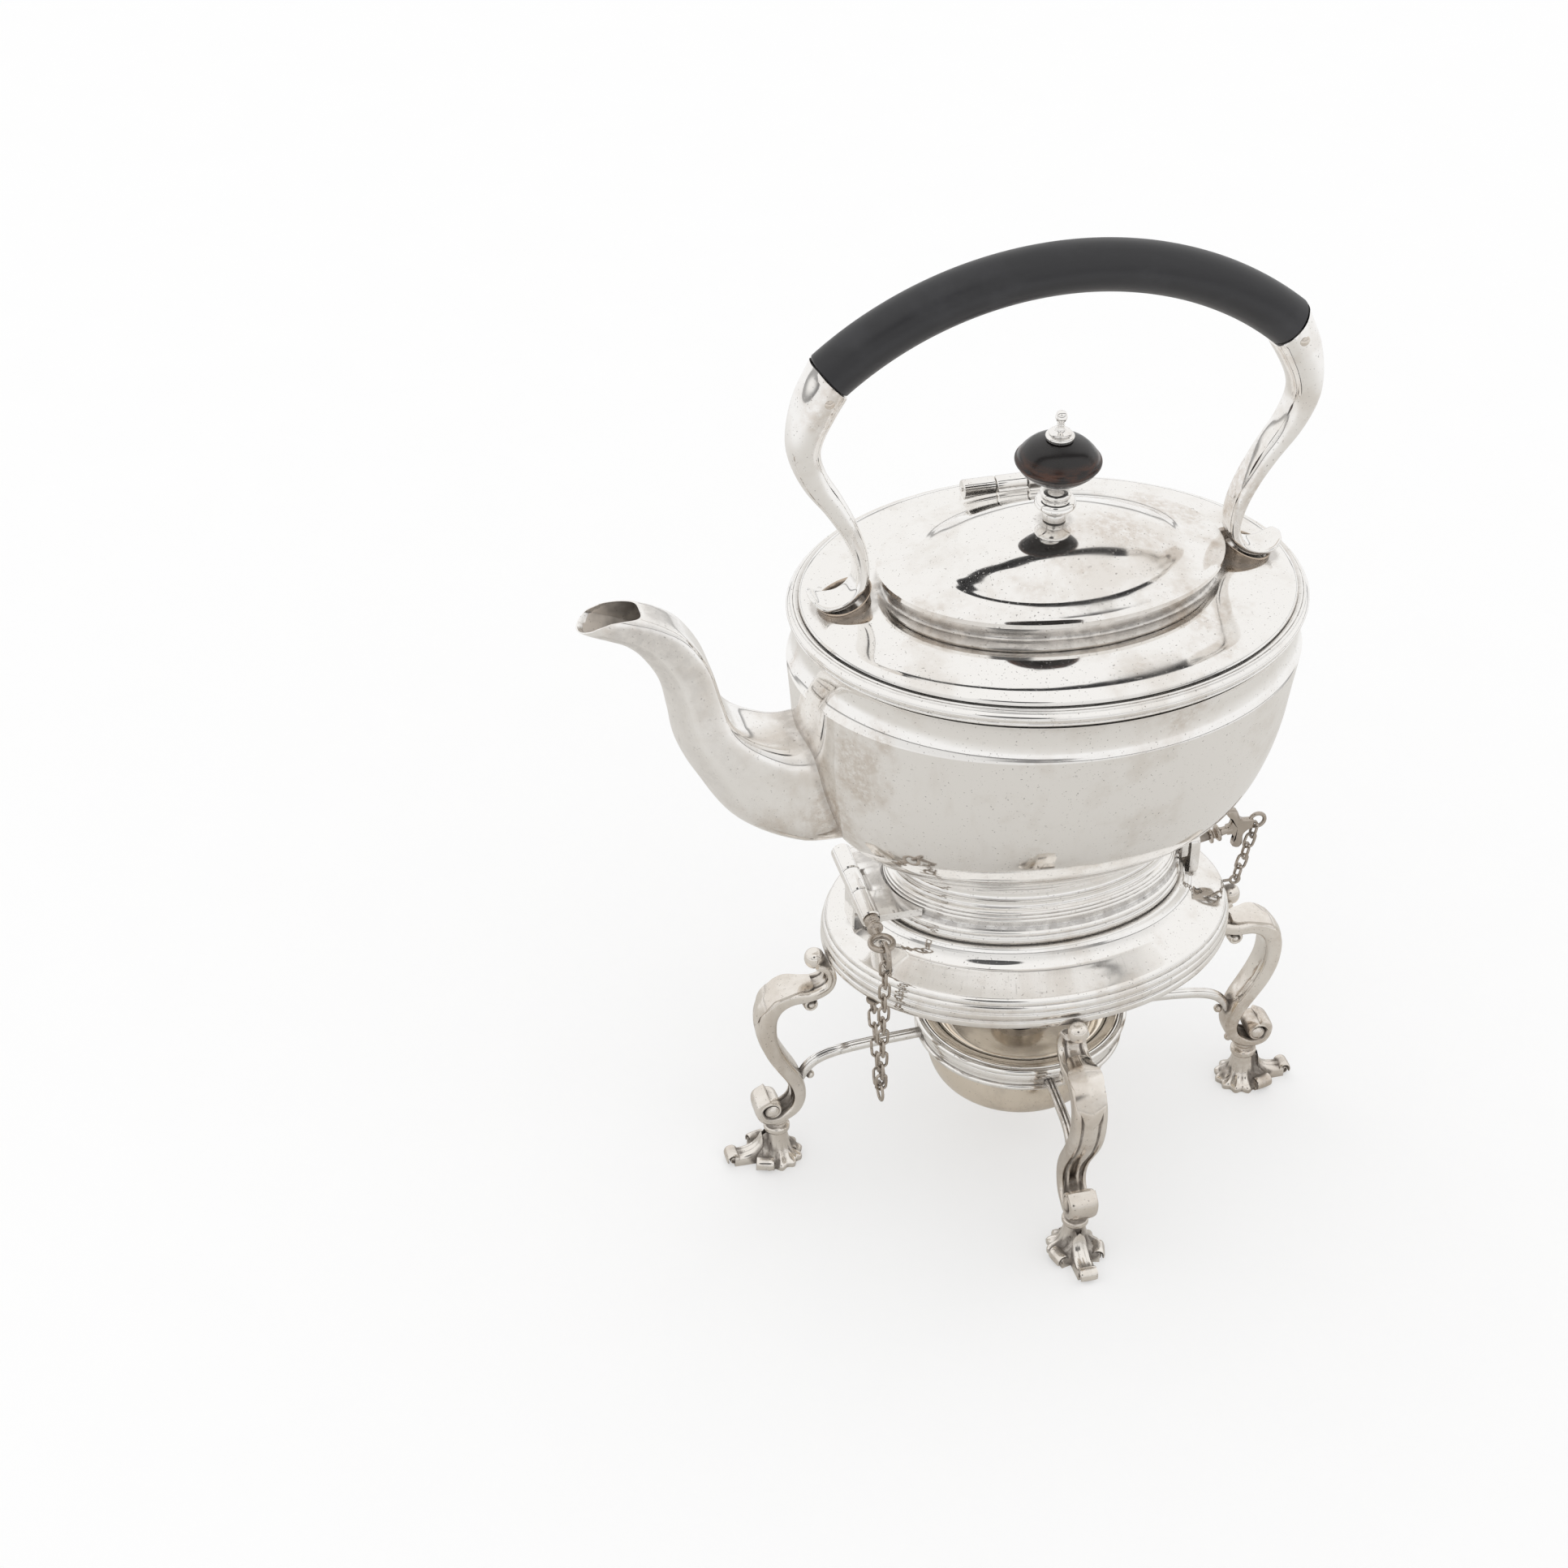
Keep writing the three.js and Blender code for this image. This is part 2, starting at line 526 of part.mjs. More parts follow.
function bowlRows() {
  const half = rimHalf - KETTLE.creaseInset;
  const halfWidth = rimHalfWidth - KETTLE.creaseInsetAcross;
  const height = KETTLE.creaseHeight - footTop;
  const bowl = BOWL_SHARES.map(([long, wide, up]) => [half * long, halfWidth * wide, footTop + height * up]);
  const neck = NECK_SHARES.map(([long, wide, up]) =>
    [half * long, halfWidth * wide, KETTLE.creaseHeight + KETTLE.neckHeight * up]);
  return [...bowl, ...neck];
}

// Spout: an S-curved, four-sided tube. Centres are shares of its reach and of the tip's height, then
// come half width and half thickness as shares of the reach.
const SPOUT_PATH_SHARES = [
  [0.39, 0.712, 0.104, 0.15], [0.52, 0.708, 0.1, 0.134], [0.62, 0.728, 0.092, 0.104],
  [0.698, 0.776, 0.08, 0.075], [0.742, 0.82, 0.07, 0.061], [0.76, 0.865, 0.062, 0.055],
  [0.782, 0.918, 0.055, 0.053], [0.828, 0.968, 0.05, 0.055], [0.907, 1.01, 0.046, 0.06],
  [1.01, 1.052, 0.042, 0.066],
];
const SPOUT_MOUTH_SLOPE = 0.55;
const SPOUT_SIDES = 10;

function spoutTube(thinner) {
  const rows = SPOUT_PATH_SHARES.map(([out, up, wide, thick]) => [
    -out * spoutReach, up * spoutTipZ, wide * spoutReach - thinner, thick * spoutReach - thinner,
  ]);
  return sweep(rows, { steps: 15, sides: SPOUT_SIDES, squareness: 1.35 });
}

// The mouth is cut by a plane that rises from the tip towards the kettle.
function mouthCutter() {
  const size = spoutReach;
  const wedge = block(size * 2, size, size, 0, 0, size / 2);
  return wedge.rotateY(-Math.atan(SPOUT_MOUTH_SLOPE)).translate(-spoutReach, 0, spoutTipZ);
}

const bowlCutter = ovalPlug(bowlRows().slice(1), GAP);

function kettleBowl() {
  return cut(ovalShell(bowlRows(), SHEET), spoutTube(SPOUT.wall));
}

function spoutSolid() {
  return cut(spoutTube(0), bowlCutter, spoutTube(SPOUT.wall), mouthCutter());
}
add(kettleParts, 'kettle_bowl', kettleBowl());
add(kettleParts, 'spout', spoutSolid());

// Kettle foot: a flared oval ring with reeds above its seat. Shares of its half length, half width
// and height.
const KETTLE_FOOT_SHARES = [
  [0.99, 0.985, 0], [1, 1, 0.07], [0.985, 0.978, 0.16], [0.99, 0.985, 0.25], [0.96, 0.945, 0.36],
  [0.93, 0.905, 0.5], [0.89, 0.85, 0.74], [0.9, 0.86, 1],
];

function kettleFootRows() {
  return KETTLE_FOOT_SHARES.map(([long, wide, up]) =>
    [(KETTLE.footLength / 2) * long, (KETTLE.footWidth / 2) * wide, footBottom + (KETTLE.footHeight - GAP * 1.5) * up]);
}
const kettleFootCutter = ovalPlug(kettleFootRows(), GAP);
add(kettleParts, 'kettle_foot', ovalShell(kettleFootRows(), KETTLE.footWall));

// Reeded rim, and the shoulder plate with the collar that the lid sits on
const RIM_FACE_SHARES = [
  [0.965, 0], [0.992, 0.14], [0.98, 0.28], [1, 0.44], [0.986, 0.6], [0.996, 0.76], [0.974, 1],
];

function kettleRim() {
  const half = rimHalf;
  const halfWidth = rimHalfWidth;
  const face = RIM_FACE_SHARES.map(([out, up]) => {
    const inset = half * (1 - out);
    return [half - inset, halfWidth - inset, rimBottom + KETTLE.rimHeight * up];
  });
  const back = [half - KETTLE.rimThickness - SHEET, halfWidth - KETTLE.rimThickness - SHEET];
  return ovalRevolve([...face, [...back, rimTop], [...back, rimBottom], face[0]]);
}
add(kettleParts, 'kettle_rim', kettleRim());

const lidCollarHalf = lidHalf - SHEET;
const lidCollarHalfWidth = lidHalfWidth - SHEET;
// The shoulder climbs from the rim to the collar: shares of the run inwards and of the rise.
const SHOULDER_SHARES = [[0, 0], [0.2, 0.34], [0.5, 0.66], [0.82, 0.86], [0.95, 0.93], [1, 1.1]];

function shoulderRows() {
  const half = rimHalf - KETTLE.rimThickness;
  const halfWidth = rimHalfWidth - KETTLE.rimThickness;
  const base = rimTop + GAP + SHEET;
  const plate = SHOULDER_SHARES.map(([inward, up]) => [
    THREE.MathUtils.lerp(half, lidCollarHalf, inward),
    THREE.MathUtils.lerp(halfWidth, lidCollarHalfWidth, inward),
    base + (KETTLE.shoulderRise - SHEET) * up,
  ]);
  return [...plate, [lidCollarHalf, lidCollarHalfWidth, lidCollarTop]];
}
const [shoulderEdge] = shoulderRows();
const shoulderCutter = ovalPlug([[shoulderEdge[0], shoulderEdge[1], rimBottom], ...shoulderRows()], GAP);
add(kettleParts, 'shoulder_plate', ovalShell(shoulderRows(), SHEET));

// Lid: a stamped shell with a flat edge, a gentle dome and a bezel that drops inside the collar.
// Shares of the half length, half width and rise.
const LID_FACE_SHARES = [
  [1, 1, 0], [0.92, 0.915, 0.03], [0.8, 0.78, 0.13], [0.68, 0.64, 0.36], [0.54, 0.52, 0.62],
  [0.36, 0.36, 0.84],
  [0.16, 0.16, 0.97], [0, 0, 1],
];

function lidShell() {
  const half = lidHalf;
  const halfWidth = lidHalfWidth;
  const face = LID_FACE_SHARES.map(([long, wide, up]) =>
    [half * long, halfWidth * wide, lidBottom + LID.edge + LID.rise * up]);
  const domed = face.slice(3, -1).filter((_, i) => i % 2 === 0);
  const under = domed.map(([long, wide, up]) => [long - SHEET / 2, wide - SHEET / 2, up - SHEET]);
  const bezel = half - LID.bezelInset;
  const bezelWidth = halfWidth - LID.bezelInset;
  const ring = [
    [bezel - SHEET, bezelWidth - SHEET, lidBottom + LID.edge / 2],
    [bezel - SHEET, bezelWidth - SHEET, lidBottom - LID.bezelDepth],
    [bezel, bezelWidth, lidBottom - LID.bezelDepth],
    [bezel, bezelWidth, lidBottom],
    [half, halfWidth, lidBottom],
  ];
  return ovalRevolve([[0, 0, lidTop - SHEET], ...under.reverse(), ...ring, ...face]);
}
const rodBore = FINIAL.rodRadius + GAP;
add(lidParts, 'lid', cut(lidShell(), rodAlongZ(rodBore, lidBottom, lidTop + OVERRUN)));

// Finial, on the lid's middle. Shares of each piece's radius and height.
const STEM_SHARES = [
  [0.56, 0], [0.56, 0.16], [0.5, 0.22], [0.96, 0.36], [1, 0.46], [0.9, 0.55], [0.66, 0.6], [0.76, 0.68],
  [0.74, 0.76], [0.42, 0.84], [0.4, 0.9], [0.62, 1],
];
const KNOB_SHARES = [
  [0.24, 0], [0.62, 0.13], [0.88, 0.32], [0.96, 0.42], [1, 0.47], [1, 0.53], [0.95, 0.57], [0.88, 0.68], [0.68, 0.86],
  [0.4, 0.97], [0.24, 1],
];
const NUT_SHARES = [
  [1, 0], [1, 0.12], [0.76, 0.16], [0.78, 0.24], [0.34, 0.3], [0.26, 0.42], [0.28, 0.52], [0.22, 0.56], [0.38, 0.7],
  [0.42, 0.8], [0.3, 0.95], [0, 1],
];
const stemBottom = lidTop + GAP;
const stemTop = stemBottom + FINIAL.stemHeight;
const knobBottom = stemTop + GAP;
const knobTop = knobBottom + FINIAL.knobHeight;
const nutBottom = knobTop + GAP;

function turned(shares, radius, bottom, height) {
  return shares.map(([out, up]) => [radius * out, bottom + height * up]);
}

function finialStem() {
  const face = turned(STEM_SHARES, FINIAL.stemRadius, stemBottom, FINIAL.stemHeight);
  const rod = rodAlongZ(FINIAL.rodRadius, lidTop - OVERRUN, knobTop + FINIAL.washerHeight);
  return join(revolve([[0, stemBottom], ...face, [0, stemTop]], SMALL_FACETS * 1.5), rod);
}

function finialKnob() {
  const face = turned(KNOB_SHARES, FINIAL.knobRadius, knobBottom, FINIAL.knobHeight);
  return revolve([[rodBore, knobBottom], ...face, [rodBore, knobTop], [rodBore, knobBottom]]);
}

function finialNut() {
  const face = turned(NUT_SHARES, FINIAL.washerRadius, nutBottom, FINIAL.nutHeight);
  const boreTop = knobTop + FINIAL.washerHeight + GAP;
  return revolve([[0, boreTop], [rodBore, boreTop], [rodBore, nutBottom], ...face], SMALL_FACETS * 1.5);
}
add(lidParts, 'finial_stem', finialStem());
add(lidParts, 'finial_knob', finialKnob(), WOOD);
add(lidParts, 'finial_nut', finialNut());

// Lid hinge behind the lid: fixed knuckles on the shoulder, one on the lid's leaf, and their pin
const lidAxisY = lidHalfWidth + LID_HINGE.axisOut;
const lidAxisZ = lidBottom + LID_HINGE.axisUp;
const lidKnuckle = LID_HINGE.length / 3;
const lidHingeEnd = LID_HINGE.length / 2;
const lidBore = LID_HINGE.pinRadius + GAP;

function atLidAxis(geometry) {
  return alongX(geometry).translate(0, lidAxisY, lidAxisZ);
}

function lidHingeBlock() {
  const depth = lidAxisZ - rimTop;
  const side = LID_HINGE.radius * 2;
  const web = block(LID_HINGE.length, side, depth, 0, lidAxisY, lidAxisZ - depth / 2);
  const barrel = atLidAxis(rodAlongZ(LID_HINGE.radius, -lidHingeEnd, lidHingeEnd));
  const leafClear = atLidAxis(rodAlongZ(LID_HINGE.radius + GAP, -lidKnuckle / 2, lidKnuckle / 2));
  const bore = atLidAxis(rodAlongZ(lidBore, -lidHingeEnd - OVERRUN, lidHingeEnd + OVERRUN));
  const lidClear = ovalRevolve([
    [0, 0, lidBottom - LID.bezelDepth], [lidHalf + GAP, lidHalfWidth + GAP, lidBottom - LID.bezelDepth],
    [lidHalf + GAP, lidHalfWidth + GAP, lidTop], [0, 0, lidTop],
  ]);
  return cut(join(web, barrel), leafClear, bore, shoulderCutter, lidClear);
}

function lidLeaf() {
  const half = lidKnuckle / 2 - GAP;
  const run = LID_HINGE.axisOut + LID_HINGE.radius;
  const tongue = block(half * 2, run, SHEET, 0, lidAxisY - run / 2, lidAxisZ + LID_HINGE.radius - SHEET / 2);
  const bore = atLidAxis(rodAlongZ(lidBore, -OVERRUN - lidKnuckle, OVERRUN + lidKnuckle));
  return cut(join(atLidAxis(rodAlongZ(LID_HINGE.radius, -half, half)), tongue), bore, lidTopCutter());
}

function lidTopCutter() {
  const face = LID_FACE_SHARES.map(([long, wide, up]) =>
    [lidHalf * long + GAP, lidHalfWidth * wide + GAP, lidBottom + LID.edge + GAP + LID.rise * up]);
  return ovalRevolve([[0, 0, rimTop], [lidHalf + GAP, lidHalfWidth + GAP, rimTop], ...face.slice(0, -1),
    [0, 0, lidTop + GAP]]);
}
add(kettleParts, 'lid_hinge_block', lidHingeBlock());
add(kettleParts, 'lid_hinge_pin', atLidAxis(rodAlongZ(LID_HINGE.pinRadius, -lidHingeEnd, lidHingeEnd)));
add(lidParts, 'lid_leaf', lidLeaf());

// Handle: a black grip on an arc, and two S arms that each stand on a round seat on the shoulder
const gripHalf = HANDLE.gripDiameter / 2;
const gripHalfChord = rimHalf - HANDLE.gripInset;
const gripArcRadius = (gripHalfChord ** 2 + HANDLE.gripDrop ** 2) / (2 * HANDLE.gripDrop);
const gripArcCentre = shoulderTop + HANDLE.gripRise - gripHalf - gripArcRadius;
const gripHalfAngle = Math.asin(gripHalfChord / gripArcRadius);
const gripEnd = gripArcCentre + gripArcRadius * Math.cos(gripHalfAngle);

function gripPoint(angle) {
  return [HANDLE.offset + gripArcRadius * Math.sin(angle), gripArcCentre + gripArcRadius * Math.cos(angle)];
}

// A block whose face stands on the grip's end, on the outer side of it or on the grip's own side.
function gripEndBlock(side, outer, clearance) {
  const size = HANDLE.gripDiameter * 2;
  const [endX, endZ] = gripPoint(side * gripHalfAngle);
  return block(size, size, size, side * (clearance + (outer ? size : -size) / 2), 0, 0)
    .rotateY(side * gripHalfAngle).translate(endX, 0, endZ);
}

function gripSolid() {
  const reach = gripHalfAngle + GAP / gripHalf;
  const angles = Array.from({ length: 9 }, (_, i) => reach * (i / 4 - 1));
  const bar = sweep(angles.map((angle) => [...gripPoint(angle), gripHalf, gripHalf]), { steps: 14, sides: 12 });
  return cut(bar, gripEndBlock(-1, true, 0), gripEndBlock(1, true, 0));
}
add(kettleParts, 'handle_grip', gripSolid(), EBONY);

// Arm from the grip to its tail: shares of half the grip's chord, of the drop to the tail and of the
// grip's half diameter.
const ARM_SHARES = [
  [0.98, -0.02, 0.99, 0.99], [1.053, 0.11, 0.94, 0.88], [1.095, 0.235, 0.84, 0.7], [1.094, 0.33, 0.74, 0.6],
  [1.046, 0.44, 0.67, 0.53], [0.963, 0.555, 0.63, 0.45], [0.893, 0.67, 0.61, 0.38], [0.848, 0.78, 0.58, 0.33],
  [0.834, 0.88, 0.57, 0.28], [0.86, 0.955, 0.55, 0.23], [0.935, 0.992, 0.46, 0.18], [1.045, 0.97, 0.22, 0.11],
];

function seatSolid(side, grow) {
  const top = SEAT.thickness + grow;
  const face = [
    [SEAT.radius + grow, -SEAT.bedding], [SEAT.radius + grow, top + SEAT.lip],
    [SEAT.radius - SEAT.lip, top + SEAT.lip], [SEAT.radius * 0.72, top],
  ];
  const disc = revolve([[0, -SEAT.bedding], ...face, [0, top]], ROUND_FACETS);
  const onShoulder = shoulderTop - KETTLE.shoulderRise / 3;
  return disc.rotateY(side * THREE.MathUtils.degToRad(SEAT.slope))
    .translate(HANDLE.offset + side * (rimHalf - SEAT.inset), 0, onShoulder);
}

function armSolid(side) {
  const rows = ARM_SHARES.map(([out, down, wide, thick]) =>
    [HANDLE.offset + side * out * gripHalfChord, gripEnd - down * HANDLE.armDrop, wide * gripHalf, thick * gripHalf]);
  const bar = sweep(rows, { steps: 18, sides: 8, squareness: 1.6 });
  return cut(bar, gripEndBlock(side, false, GAP), shoulderCutter, seatSolid(side, GAP));
}

for (const [name, side] of [['left', -1], ['right', 1]]) {
  add(kettleParts, `handle_arm_${name}`, armSolid(side));
  add(kettleParts, `handle_seat_${name}`, cut(seatSolid(side, 0), shoulderCutter));
}

// Front hinge: two knuckles on a plate from the kettle's foot, one on a post from the stand
const hingeX = -(KETTLE.footLength / 2 + HINGE.axisOut);
const hingeZ = footBottom + HINGE.axisUp;
const hingeEnd = HINGE.length / 2;
const hingeMiddle = hingeEnd * HINGE.middleShare;
const hingeBore = HINGE.pinRadius + GAP;

function atHingeAxis(geometry) {
  return alongY(geometry).translate(hingeX, 0, hingeZ);
}

function kettleHinge() {
  const run = HINGE.axisOut + OVERRUN;
  const plate = block(run, HINGE.length, HINGE.plateThickness, hingeX + run / 2, 0, hingeZ);
  const barrel = atHingeAxis(rodAlongZ(HINGE.radius, -hingeEnd, hingeEnd, SMALL_FACETS * 1.5));
  const middleEnd = hingeMiddle + GAP;
  const middle = atHingeAxis(rodAlongZ(HINGE.radius + GAP, -middleEnd, middleEnd, SMALL_FACETS * 1.5));
  const bore = atHingeAxis(rodAlongZ(hingeBore, -hingeEnd - OVERRUN, hingeEnd + OVERRUN));
  return cut(join(plate, barrel), middle, bore, kettleFootCutter);
}

function standKnuckle() {
  const post = block(HINGE.postThickness, hingeMiddle * 2, hingeZ - STAND.plateTop, hingeX - GAP, 0,
    (hingeZ + STAND.plateTop) / 2);
  const barrel = atHingeAxis(rodAlongZ(HINGE.radius, -hingeMiddle, hingeMiddle, SMALL_FACETS * 1.5));
  const bore = atHingeAxis(rodAlongZ(hingeBore, -hingeEnd, hingeEnd));
  return cut(join(post, barrel), bore, standCutter);
}
add(kettleParts, 'kettle_hinge', kettleHinge());
add(standParts, 'stand_knuckle', standKnuckle());

// Hinge pin with a turned neck and a bow, and the ring that joins it to its chain
const PIN_NECK_SHARES = [
  [1, 0.04], [1, 0.16], [0.6, 0.24], [0.6, 0.34], [1, 0.46], [1, 0.6], [0.56, 0.7], [0.5, 1],
];
const bowY = -(hingeEnd + HINGE_PIN.neckLength + HINGE_PIN.bowRadius);
const pinRingY = bowY - HINGE_PIN.bowRadius - HINGE_PIN.ringHang;
const pinRingZ = hingeZ - HINGE_PIN.ringHang;

function hingePin() {
  const rod = rodAlongZ(HINGE.pinRadius, -hingeEnd, hingeEnd + HINGE_PIN.neckLength);
  const neckRows = turned(PIN_NECK_SHARES, HINGE_PIN.neckRadius, hingeEnd, HINGE_PIN.neckLength);
  const neck = revolve([[0, neckRows[0][1]], ...neckRows, [0, neckRows[neckRows.length - 1][1]]], SMALL_FACETS);
  const shank = atHingeAxis(geometryOf(solidOf(rod).add(solidOf(neck)))).translate(-hingeX, 0, -hingeZ)
    .rotateZ(Math.PI).translate(hingeX, 0, hingeZ);
  const bow = wireRing(HINGE_PIN.bowRadius, HINGE_PIN.bowRadius, HINGE_PIN.bowWire).translate(hingeX, bowY, hingeZ);
  return join(shank, bow);
}
add(pinParts, 'hinge_pin', hingePin());
add(pinParts, 'pin_ring', wireRing(HINGE_PIN.ringRadius, HINGE_PIN.ringRadius, HINGE_PIN.ringWire)
  .rotateY(Math.PI / 2).translate(hingeX, pinRingY, pinRingZ));

// Rear lock: a lug on the kettle's foot, a post on the stand, and a sloping pin through both
const lockX = KETTLE.footLength / 2 + LOCK.axisOut;
const lockZ = footBottom + LOCK.axisUp;
const lockSlope = THREE.MathUtils.degToRad(LOCK.slope);
const lugX = KETTLE.footLength / 2 + LOCK.lugOut - LOCK.lugThickness / 2;
const postX = KETTLE.footLength / 2 + LOCK.postOut + LOCK.postThickness / 2;
const lockBore = LOCK.pinRadius + GAP;

// Lays a piece modelled along +Z on the lock's sloping axis, with its zero at the end eye's middle.
function onLockAxis(geometry) {
  return geometry.rotateY(Math.PI / 2 - lockSlope).translate(lockX, 0, lockZ);
}

function lockHole() {
  return onLockAxis(rodAlongZ(lockBore, -LOCK.axisOut - OVERRUN * 2, OVERRUN));
}

function lockLug() {
  const bottom = footBottom + GAP;
  const reach = LOCK.lugThickness + OVERRUN;
  const middleX = lugX + (LOCK.lugThickness - reach) / 2;
  const lug = block(reach, LOCK.lugWidth, LOCK.lugRise, middleX, 0, bottom + LOCK.lugRise / 2);
  return cut(lug, kettleFootCutter, lockHole());
}

function lockPost() {
  const height = standTop + LOCK.postRise - STAND.plateTop;
  const post = block(LOCK.postThickness, LOCK.postWidth, height, postX, 0, STAND.plateTop + height / 2);
  return cut(post, standCutter, lockHole());
}

// The thumb piece: shares of half its length and half its height.
const THUMB_SHARES = [
  [-1, -0.2], [-0.7, -0.24], [-0.5, -0.55], [-0.8, -0.8], [-0.4, -1], [-0.05, -0.86], [0.05, -0.5],
  [0.35, -0.3], [1, -0.18],
];

function lockPin() {
  const tip = -(LOCK.axisOut - LOCK.lugOut - LOCK.tipClearance) / Math.cos(lockSlope);
  const neckTop = -LOCK.axisOut + LOCK.neckOut + LOCK.neckLength;
  const neckRows = turned(PIN_NECK_SHARES, LOCK.neckRadius, -LOCK.axisOut + LOCK.neckOut, LOCK.neckLength);
  const neck = revolve([[0, neckRows[0][1]], ...neckRows, [0, neckTop]], SMALL_FACETS);
  const lower = THUMB_SHARES.map(([along, up]) =>
    [(along * LOCK.plateLength) / 2, (up * LOCK.plateHeight) / 2]);
  const outline = [...lower, ...lower.map(([x, z]) => [x, -z]).reverse()];
  const shape = new THREE.Shape(outline.map(([x, z]) => new THREE.Vector2(x, z)));
  const thumb = new THREE.ExtrudeGeometry(shape, { depth: LOCK.plateThickness, bevelEnabled: false })
    .translate(neckTop + LOCK.plateLength / 2, 0, -LOCK.plateThickness / 2)
    .rotateX(Math.PI / 2).rotateY(-Math.PI / 2);
  const eye = wireRing(LOCK.eyeRadius, LOCK.eyeRadius, LOCK.eyeWire).rotateX(Math.PI / 2);
  return onLockAxis(join(rodAlongZ(LOCK.pinRadius, tip, neckTop + OVERRUN / 2), neck, thumb, eye));
}
add(kettleParts, 'lock_lug', lockLug());
add(standParts, 'lock_post', lockPost());
add(pinParts, 'lock_pin', lockPin());

// Chains. A strand runs from the middle of one ring towards another; its first link passes through
// the first ring, and every second link stands across the strand's plane.
const linkHold = CHAIN.wire * 2 + CHAIN.slack;

function strand(name, count, linkLength, ringRadius, ringWire) {
  const pitch = linkLength - CHAIN.wire * 2 - linkHold;
  const first = ringRadius - ringWire - CHAIN.slack + linkLength / 2 - CHAIN.wire * 2;
  const links = Array.from({ length: count }, (_, i) => {
    const half = CHAIN.linkWidth / 2 - CHAIN.wire;
    const link = wireRing(half, linkLength / 2 - CHAIN.wire, CHAIN.wire, LINK_FACETS);
    const across = i % 2 === 0 ? 0 : Math.PI / 2;
    return { name: `${name}_${i + 1}`, geometry: link.rotateY(across).translate(0, -(first + i * pitch), 0) };
  });
  const last = first + (count - 1) * pitch + linkLength / 2 - CHAIN.wire;
  return { links, last };
}

const { pinStrandLinks, standStrandLinks, rearLinks, pinLinkLength, standLinkLength, rearLinkLength } = CHAIN;
const pinStrand = strand('pin_chain', pinStrandLinks, pinLinkLength, HINGE_PIN.ringRadius, HINGE_PIN.ringWire);
const standStrand = strand('stand_chain', standStrandLinks, standLinkLength, CHAIN.frontEyeRadius, CHAIN.wire);
const rearStrand = strand('lock_chain', rearLinks, rearLinkLength, CHAIN.rearEyeRadius, CHAIN.wire);

// The front eye hangs on a pad under the stand's band.
const eyeShare = Math.sqrt(1 - (hingeX / (standHalf - STAND.bandThickness / 2)) ** 2);
const frontEyeY = -(standHalfWidth - STAND.bandThickness / 2) * eyeShare;
const padBottom = bandBottom - GAP - CHAIN.padThickness;
const frontEyeZ = padBottom - CHAIN.frontEyeRadius;

function frontEye() {
  const pad = rodAlongZ(CHAIN.padRadius, padBottom, bandBottom - GAP);
  const ring = wireRing(CHAIN.frontEyeRadius, CHAIN.frontEyeRadius, CHAIN.wire).rotateY(Math.PI / 2);
  return join(pad.translate(hingeX, frontEyeY, 0), ring.translate(hingeX, frontEyeY, frontEyeZ));
}
add(standParts, 'chain_eye_front', frontEye());

// Both front strands reach for one ring: the angles follow from the triangle of their lengths.
const joinRing = standStrand.last + CHAIN.ringRadius - linkHold;
const spanY = frontEyeY - CHAIN.endOut - pinRingY;
const spanZ = frontEyeZ + CHAIN.endUp - pinRingZ;
const spanLength = Math.hypot(spanY, spanZ);
const spanAngle = Math.atan2(spanY, -spanZ);
const nearAngle = Math.acos(
  (pinStrand.last ** 2 + spanLength ** 2 - joinRing ** 2) / (2 * pinStrand.last * spanLength));
const pinStrandAngle = spanAngle - nearAngle;
const joinY = pinRingY + pinStrand.last * Math.sin(pinStrandAngle) + CHAIN.endOut;
const joinZ = pinRingZ - pinStrand.last * Math.cos(pinStrandAngle) - CHAIN.endUp;
const standStrandAngle = Math.atan2(joinY - frontEyeY, frontEyeZ - joinZ);

for (const { name, geometry } of pinStrand.links) {
  const hung = geometry.rotateX(Math.PI / 2).rotateX(pinStrandAngle);
  add(pinParts, name, hung.translate(hingeX, pinRingY, pinRingZ));
}
for (const { name, geometry } of standStrand.links) {
  const hung = geometry.rotateX(Math.PI / 2).rotateX(standStrandAngle);
  add(pinParts, name, hung.translate(hingeX, frontEyeY, frontEyeZ));
}
add(pinParts, 'chain_ring', wireRing(CHAIN.ringRadius, CHAIN.ringRadius, CHAIN.wire)
  .rotateY(Math.PI / 2).translate(hingeX, joinY, joinZ));

// The rear eye stands out of the band, as far below the lock pin's eye as the taut chain reaches.
const rearEyeX = standHalf + CHAIN.rearEyeOut;
const rearReach = rearStrand.last + LOCK.eyeRadius - LOCK.eyeWire - CHAIN.wire - CHAIN.slack;
const rearEyeZ = lockZ - Math.sqrt(rearReach ** 2 - (lockX - rearEyeX) ** 2);
const rearAngle = Math.atan2(lockX - rearEyeX, lockZ - rearEyeZ);

function rearEye() {
  const stem = alongX(rodAlongZ(CHAIN.wire, -CHAIN.rearEyeOut, -CHAIN.rearEyeRadius));
  const ring = wireRing(CHAIN.rearEyeRadius, CHAIN.rearEyeRadius, CHAIN.wire).rotateX(Math.PI / 2);
  return cut(join(stem, ring).translate(rearEyeX, 0, rearEyeZ), standCutter);
}
add(standParts, 'chain_eye_rear', rearEye());

for (const { name, geometry } of rearStrand.links) {
  const up = geometry.rotateX(-Math.PI / 2).rotateZ(Math.PI / 2).rotateY(rearAngle);
  add(pinParts, name, up.translate(rearEyeX, 0, rearEyeZ));
}

// The origin is on the table under the middle of the whole object.
const model = new THREE.Group();
model.add(standParts, burnerParts, kettleParts, lidParts, pinParts);
const extent = new THREE.Box3().setFromObject(model);
model.position.set(-(extent.min.x + extent.max.x) / 2, -(extent.min.y + extent.max.y) / 2, 0);

export default model;
